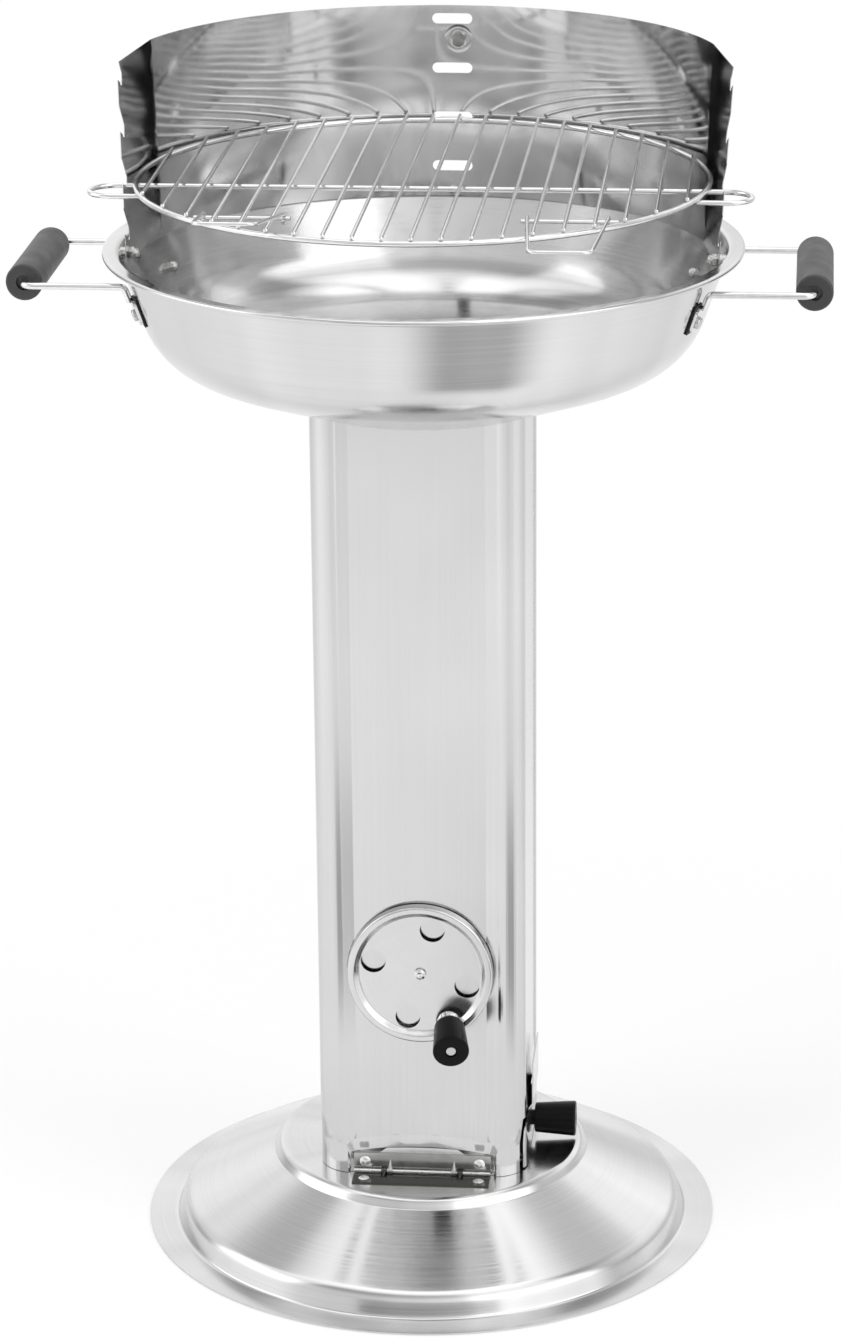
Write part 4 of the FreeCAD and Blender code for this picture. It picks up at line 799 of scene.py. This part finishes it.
def wire(path, radius, sides=14, closed=False, lean=(0.6, 0.0, 0.8)):
    """Tube along a path: each point is path + radius * (n cos a + b sin a), where n is the
    part of one fixed lean that stands square to the path and b is square to both. The ends
    of an open wire are blunted: a few rings narrow over 0.6 of the radius."""
    path, lean = np.asarray(path, float), np.asarray(lean, float)
    ahead_of = np.roll(path, -1, 0) if closed else np.concatenate([path[1:], path[-1:]])
    behind = np.roll(path, 1, 0) if closed else np.concatenate([path[:1], path[:-1]])
    along = ahead_of - behind
    along /= np.linalg.norm(along, axis=1, keepdims=True)
    size = np.full(len(path), float(radius))
    if not closed:
        grow = np.sin(np.radians([0.0, 30.0, 60.0, 90.0]))
        inset = WIRE_TAPER * radius * grow[:, None]
        path = np.concatenate([path[0] + along[0] * inset, path[1:-1],
                               (path[-1] - along[-1] * inset)[::-1]])
        size = np.concatenate([radius * grow, size[1:-1], radius * grow[::-1]])
        along = np.concatenate([np.repeat(along[:1], 3, 0), along, np.repeat(along[-1:], 3, 0)])
    n = lean - (along @ lean)[:, None] * along
    n /= np.linalg.norm(n, axis=1, keepdims=True)
    b = np.cross(along, n)
    a = np.linspace(0.0, 2 * np.pi, sides, endpoint=False)[None, :, None]
    points = path[:, None] + size[:, None, None] * (n[:, None] * np.cos(a) + b[:, None] * np.sin(a))
    return points.reshape(-1, 3), grid_faces(len(path), sides, closed, True)


def joined(shapes):
    """Several shapes as one: their points in a row and their faces counted on."""
    starts = np.cumsum([0] + [len(points) for points, faces in shapes])
    return (np.concatenate([points for points, faces in shapes]),
            np.concatenate([faces + start for (points, faces), start in zip(shapes, starts)]))


def placed(shape, origin, along):
    """A shape drawn along Z, moved so that its Z runs along a direction from an origin."""
    points, faces = shape
    z = np.asarray(along, float) / np.linalg.norm(along)
    x = np.cross([0.0, 0.0, 1.0] if abs(z[2]) < 0.9 else [0.0, 1.0, 0.0], z)
    x /= np.linalg.norm(x)
    return points @ np.stack([x, np.cross(z, x), z]) + np.asarray(origin, float), faces


print("shape helpers: 4")

# %% [markdown]
# A shape becomes a piece of the grill when it has a mesh, a finish, a body to ride on and the
# names of the plain pieces that it stands for. Its points are given in millimetres. A sheet
# whose plain shape is right is copied instead, and only shaded smooth.

# %% Put a piece in the scene
def closed_up(mesh, degrees):
    """Merge points that lie on each other, shade smooth, and keep edges sharper than the
    angle; the signed volume, a sum of a . (b x c) / 6, says whether the faces point out."""
    work = bmesh.new()
    work.from_mesh(mesh)
    bmesh.ops.remove_doubles(work, verts=work.verts, dist=1e-7)
    if work.calc_volume(signed=True) < 0:
        bmesh.ops.reverse_faces(work, faces=work.faces)
    work.to_mesh(mesh)
    work.free()
    mesh.shade_smooth()
    mesh.set_sharp_from_angle(angle=math.radians(degrees))


def put(name, shape, material, body, stands_for=(), degrees=32.0, skin=None):
    """A new piece from a shape in millimetres: its finish, its body and what it stands for."""
    points, faces = shape
    mesh = bpy.data.meshes.new(name)
    mesh.from_pydata((np.asarray(points) * MM).tolist(), [], faces.tolist())
    closed_up(mesh, degrees)
    mesh.materials.append(skin or finish[material])
    piece = linked(name, mesh)
    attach(piece, body)
    if stands_for:
        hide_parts(*stands_for)
    return piece


def smooth_copy(node, material, body, skin, degrees=14.0):
    """The same shape as a plain piece, with merged points and smooth round faces."""
    mesh = nodes[node].data.copy()
    mesh.materials.clear()
    closed_up(mesh, degrees)
    mesh.materials.append(skin)
    piece = linked(node + "_sheet", mesh)
    weigh = piece.modifiers.new("flat faces first", "WEIGHTED_NORMAL")
    weigh.keep_sharp = True
    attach(piece, body)
    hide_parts(node)
    return piece


print("piece helpers: 3")

# %% [markdown]
# Every plain piece gets a finish first: a few have one of their own, and zinc serves for the
# screws, nuts and spacers. The larger pieces are replaced further on, so theirs won't show.

# %% First finish on every plain piece
own_finish = {
    # The lower hinge leaf gets the steel with painted shade.
    "vent_rivet": rivet_head, "hinge_upper_leaf": leaf_steel, "hinge_lower_leaf": shade_painted_leaf,
    "hinge_pin": nickel, "upper_leaf_rivets": nickel, "lower_leaf_rivets": nickel,
    "ash_tray": pillar_steel, "drawer_rail_front": pillar_steel,
    "drawer_rail_rear": pillar_steel, "bowl_brackets": pillar_steel,
    "handle_pads": pad_rubber, "charcoal_grate_ring": wire_steel,
    "charcoal_grate_bars": wire_steel,
}
for name in nodes:
    plain_mesh = nodes[name].data
    plain_mesh.materials.clear()
    plain_mesh.materials.append(own_finish.get(name, zinc))
print("dressed:", len(nodes))

# %% [markdown]
# The foot is one pressed sheet: a raised platform, a skirt, a cone, a crown and a flat rim.
# The press leaves a small radius at every fold. One sheet could be thickened by a modifier,
# but the inside of a fold has a smaller radius than its outside: so the section is drawn
# along the top, its parallel is the underside, and both are turned together.

# %% Foot
FOOT_SHEET = 1.2
foot_top = [(0.0, 61.5), (117.5, 61.5), (122.0, 54.0), (193.0, 18.0), (199.0, 1.2), (221.5, 1.2)]
foot_bends = [0.0, 6.0, 2.5, 14.0, 3.0, 0.0]
foot_under, under_bends = beside(foot_top, foot_bends, -FOOT_SHEET)
foot_section = np.concatenate([bent(foot_top, foot_bends, 3.0, 5.0),
                               bent(foot_under, under_bends, 3.0, 7.5)[::-1]])
foot = put("foot_pressing", turned(foot_section, steps=240, closed=False),
           "brushed_stainless", "foot", ["foot_plate"], degrees=40.0, skin=foot_steel)
print("foot:", len(foot.data.polygons), "faces")

# %% [markdown]
# The fire bowl is spun from one disc: a raised middle with its air hole, a flat ring round
# it, a long fillet, a wall that leans out, and a flat lip whose edge is rolled under. It is
# turned like the foot, with the round of the lip put in between the two lines.

# %% Fire bowl
BOWL_RADIUS, BOWL_SHEET = 235.0, 1.0
AIR_HOLE = 25.0
LIP_ROLL = 2.0
roll_x, roll_z = BOWL_RADIUS - LIP_ROLL, RIM_HEIGHT - LIP_ROLL
roll_start = roll_x - math.sqrt(LIP_ROLL ** 2 - (LIP_ROLL - BOWL_SHEET) ** 2)
lip_under = RIM_HEIGHT - BOWL_SHEET
bowl_under = [(AIR_HOLE, 667.5), (88.0, 667.5), (94.0, 661.0), (97.9, 661.0), (197.2, 696.75),
              (224.2, lip_under), (roll_start, lip_under)]
bowl_bends = [0.0, 3.0, 3.0, 8.0, 60.0, 2.5, 0.0]
bowl_over, over_bends = beside(bowl_under, bowl_bends, BOWL_SHEET)
roll_angle = np.radians(np.linspace(210.0, 450.0, 22))[1:]
lip_roll = np.stack([roll_x + LIP_ROLL * np.cos(roll_angle),
                     roll_z + LIP_ROLL * np.sin(roll_angle)], -1)
bowl_section = np.concatenate([bent(bowl_under, bowl_bends, 3.0, 4.0), lip_roll,
                               bent(bowl_over, over_bends, 3.0, 4.0)[::-1]])
bowl = put("fire_bowl_spinning", turned(bowl_section, steps=256), "brushed_stainless",
           "column", ["fire_bowl"], degrees=40.0)
print("bowl:", len(bowl.data.polygons), "faces")

# %% [markdown]
# The cooking grate is welded from round wire: a ring, twenty bars on top of it and one long
# wire under it whose ends turn back as finger loops. The bars could be one cylinder in an
# array, but each has its own length, from the ring's circle: y^2 = r^2 - x^2.

# %% Grate ring, bars and cross wire
RING_WIRE, CROSS_WIRE, BAR_WIRE = 2.2, 2.0, 1.5
GAP, PLAY = 0.05, 0.3
STRAIGHT_UP = (0.0, 0.0, 1.0)
HOOK_RISE, SHIELD_END_Y, HOOK_REACH = 3.4, -24.0, 8.2
BARS, BAR_PITCH = 20, 20.5
LOOP_REACH, LOOP_TIP, LOOP_WIDTH, LOOP_BEND = 242.0, 200.0, 36.0, 17.99
cross_z = RIM_HEIGHT + HOOK_RISE + GRATE_LEVEL + CROSS_WIRE + PLAY
ring_z = cross_z + CROSS_WIRE + RING_WIRE + GAP
bar_z = ring_z + RING_WIRE + BAR_WIRE + GAP
ring_radius = GRATE_RADIUS - RING_WIRE
ring_turn = np.linspace(0.0, 2 * np.pi, 200, endpoint=False)
ring_path = np.stack([ring_radius * np.cos(ring_turn), ring_radius * np.sin(ring_turn),
                      0 * ring_turn + ring_z], -1)
put("grate_ring_wire", wire(ring_path, RING_WIRE, sides=16, closed=True, lean=STRAIGHT_UP),
    "chromed_wire", "cooking_grate", ["grate_ring"])

bar_x = (np.arange(BARS) - (BARS - 1) / 2) * BAR_PITCH
bar_half = np.sqrt(ring_radius ** 2 - bar_x ** 2) + 0.8 * RING_WIRE
grate_bars = [wire(bent([(x, -half, bar_z), (x, half, bar_z)], step=20.0), BAR_WIRE, sides=12)
              for x, half in zip(bar_x, bar_half)]
put("grate_bar_wires", joined(grate_bars), "chromed_wire", "cooking_grate", ["grate_bars"])

cross_y = SHIELD_END_Y + HOOK_REACH
loop_x, loop_back = LOOP_REACH - CROSS_WIRE, cross_y - LOOP_WIDTH
loops = [(LOOP_TIP, loop_back, cross_z), (loop_x, loop_back, cross_z), (loop_x, cross_y, cross_z),
         (-loop_x, cross_y, cross_z), (-loop_x, loop_back, cross_z),
         (-LOOP_TIP, loop_back, cross_z)]
loop_path = bent(loops, [0.0, *[LOOP_BEND] * 4, 0.0])
put("grate_long_wire", wire(loop_path, CROSS_WIRE, lean=STRAIGHT_UP), "chromed_wire",
    "cooking_grate", ["grate_cross_wire"])
print("grate: bars at", round(float(bar_z), 2), "mm")

# %% [markdown]
# Two bails lift the grate. Each is one wire with an open eye at both ends, which turns on a
# short crossbar under the bars. The left one stands a little above the ring.

# %% Bails and crossbars
CROSSBAR_Y, CROSSBAR_WIRE, BAIL_WIRE = -138.0, 1.5, 1.4
CROSSBAR_LENGTH, CROSSBAR_INSET = 70.0, 7.2
BAIL_INNER, BAIL_OUTER, BAIL_TAPER, BAIL_LENGTH = 5.5, 62.0, 7.0, 106.0
CROSSBAR_X = math.sqrt((GRATE_RADIUS - CROSSBAR_INSET) ** 2 - CROSSBAR_Y ** 2) - CROSSBAR_LENGTH
crossbar_z = bar_z - BAR_WIRE - CROSSBAR_WIRE - GAP
eye = max(CROSSBAR_WIRE + PLAY + BAIL_WIRE, ring_z + RING_WIRE + PLAY + BAIL_WIRE - crossbar_z)


def bail_path(side, lift):
    """Eye, leg, front, leg, eye; each eye is an arc of 260 degrees about the crossbar, and
    the whole turns about the crossbar by the lift."""
    inner, outer = (CROSSBAR_X + BAIL_INNER) * side, (CROSSBAR_X + BAIL_OUTER) * side
    taper = BAIL_TAPER * side
    a = np.radians(np.linspace(-170.0, 90.0, 40))[:-1]
    eye_yz = np.stack([CROSSBAR_Y + eye * np.cos(a), crossbar_z + eye * np.sin(a)], -1)
    first = np.concatenate([np.full((len(a), 1), inner), eye_yz], 1)
    last = np.concatenate([np.full((len(a), 1), outer), eye_yz], 1)[::-1]
    top, near, front = crossbar_z + eye, CROSSBAR_Y - 2 * eye, CROSSBAR_Y - BAIL_LENGTH
    corners = [(inner, CROSSBAR_Y, top), (inner, near, top), (inner + taper, front, top),
               (outer - taper, front, top), (outer, near, top), (outer, CROSSBAR_Y, top)]
    path = np.concatenate([first, bent(corners, [0, 20, 7, 7, 20, 0]), last])
    c, s = math.cos(math.radians(-lift)), math.sin(math.radians(-lift))
    y, z = path[:, 1] - CROSSBAR_Y, path[:, 2] - crossbar_z
    return np.stack([path[:, 0], CROSSBAR_Y + c * y - s * z, crossbar_z + s * y + c * z], -1)


for side, lift, word in ((-1, 9.0, "left"), (1, 0.0, "right")):
    put("bail_wire_" + word, wire(bail_path(side, lift), BAIL_WIRE, sides=12),
        "chromed_wire", "bail_" + word, ["bail_" + word])
crossbar_ends = CROSSBAR_X, CROSSBAR_X + CROSSBAR_LENGTH
crossbars = [wire(bent([(side * x, CROSSBAR_Y, crossbar_z) for x in crossbar_ends], step=10.0),
                  CROSSBAR_WIRE, sides=12, lean=STRAIGHT_UP) for side in (-1, 1)]
put("grate_crossbar_wires", joined(crossbars), "chromed_wire", "cooking_grate",
    ["grate_crossbars"])
print("bails: eye radius", round(float(eye), 2), "mm")

# %% [markdown]
# The grips are black tubes with a shallow recess at each end, and spin on their wires. A
# cylinder would miss the soft edges and the recess, so they are turned from a section too.

# %% Grips
GRIP_X, GRIP_Z = 286.0, RIM_HEIGHT - 19.0
GRIP_BORE, GRIP_RECESS, GRIP_RADIUS = 2.55, 5.5, 13.5
GRIP_END, GRIP_FLOOR = 61.0, 58.0
grip_section = bent(
    [(GRIP_BORE, 0.0), (GRIP_BORE, -GRIP_FLOOR), (GRIP_RECESS, -GRIP_FLOOR),
     (GRIP_RECESS, -GRIP_END), (GRIP_RADIUS, -GRIP_END), (GRIP_RADIUS, GRIP_END),
     (GRIP_RECESS, GRIP_END), (GRIP_RECESS, GRIP_FLOOR), (GRIP_BORE, GRIP_FLOOR),
     (GRIP_BORE, 0.0)], [0, 0, 0, 0.4, 2, 2, 0.4, 0, 0, 0], 6.0, 12.0)[:-1]
for side, word in ((-1, "left"), (1, "right")):
    tube = placed(turned(grip_section, 72), (side * GRIP_X, 0, GRIP_Z), (0, 1, 0))
    put("grip_tube_" + word, tube, "black_grip", "grip_" + word, ["handle_grip_" + word],
        skin=grip_skin)
print("grips:", 2 * GRIP_END, "mm long")

# %% [markdown]
# The knobs of the vent and the ash drawer come from one mould. They widen towards the end,
# where a round recess holds the screw. The vent's knob leans outwards on the slope of the
# disc, and the drawer's has a short neck.

# %% Knobs
KNOB_BASE, KNOB_END, KNOB_LENGTH = 11.5, 13.8, 32.0
KNOB_BORE, KNOB_NECK, KNOB_RECESS, RECESS_DEPTH = 2.05, 6.0, 4.6, 3.0
PANEL_Y, KNOB_AHEAD, KNOB_CIRCLE = -74.6, 10.45, 46.5
ASH_KNOB_SEAT, ASH_NECK = (80.05, 0.0, 78.0), 2.0


def knob_section(neck):
    """Half section of a knob: a neck, a body that widens to its end, and a round recess."""
    end = neck + KNOB_LENGTH
    start = [(KNOB_BORE, 0.0), (KNOB_NECK, 0.0), (KNOB_NECK, neck)] if neck else [(KNOB_BORE, 0.0)]
    corners = start + [(KNOB_BASE, neck), (KNOB_END, end), (KNOB_RECESS, end),
                       (KNOB_RECESS, end - RECESS_DEPTH), (KNOB_BORE, end - RECESS_DEPTH),
                       (KNOB_BORE, 0.0)]
    radii = [0.0] * len(start) + [1.6, 1.6, 0.5, 0.0, 0.0, 0.0]
    return bent(corners, radii, 4.0, 12.0)[:-1]


knob_angle, knob_lean = math.radians(-61.0), math.radians(14.0)
vent_seat = (KNOB_CIRCLE * math.cos(knob_angle), PANEL_Y - KNOB_AHEAD,
             VENT_HEIGHT + KNOB_CIRCLE * math.sin(knob_angle))
vent_way = (math.cos(knob_angle) * math.sin(knob_lean), -math.cos(knob_lean),
            math.sin(knob_angle) * math.sin(knob_lean))
put("vent_knob_moulding", placed(turned(knob_section(0.0), 64), vent_seat, vent_way),
    "black_grip", "vent", ["vent_knob"])
put("ash_knob_moulding", placed(turned(knob_section(ASH_NECK), 64), ASH_KNOB_SEAT, (1, 0, 0)),
    "black_grip", "ash_drawer", ["ash_knob"])
print("knobs:", KNOB_LENGTH, "mm long")

# %% [markdown]
# The folded and cut sheets, the handle wires and the tab behind the grate could be drawn
# again too, but their plain shapes are right. So they only get smooth round corners.

# %% Folded sheets
smooth_pieces = [smooth_copy(*row) for row in (
    ("pillar_shell", "brushed_stainless", "column", pillar_steel),
    ("ash_drawer_front", "brushed_stainless", "ash_drawer", pillar_steel),
    ("vent_disc", "brushed_stainless", "vent", disc_steel),
    ("wind_shield_left", "polished_stainless", "column", mirror_steel),
    ("wind_shield_right", "polished_stainless", "column", mirror_steel),
    ("handle_wire_left", "chromed_wire", "column", wire_steel),
    ("handle_wire_right", "chromed_wire", "column", wire_steel),
    ("grate_rear_tab", "chromed_wire", "cooking_grate", wire_steel))]
print("smooth copies:", len(smooth_pieces))
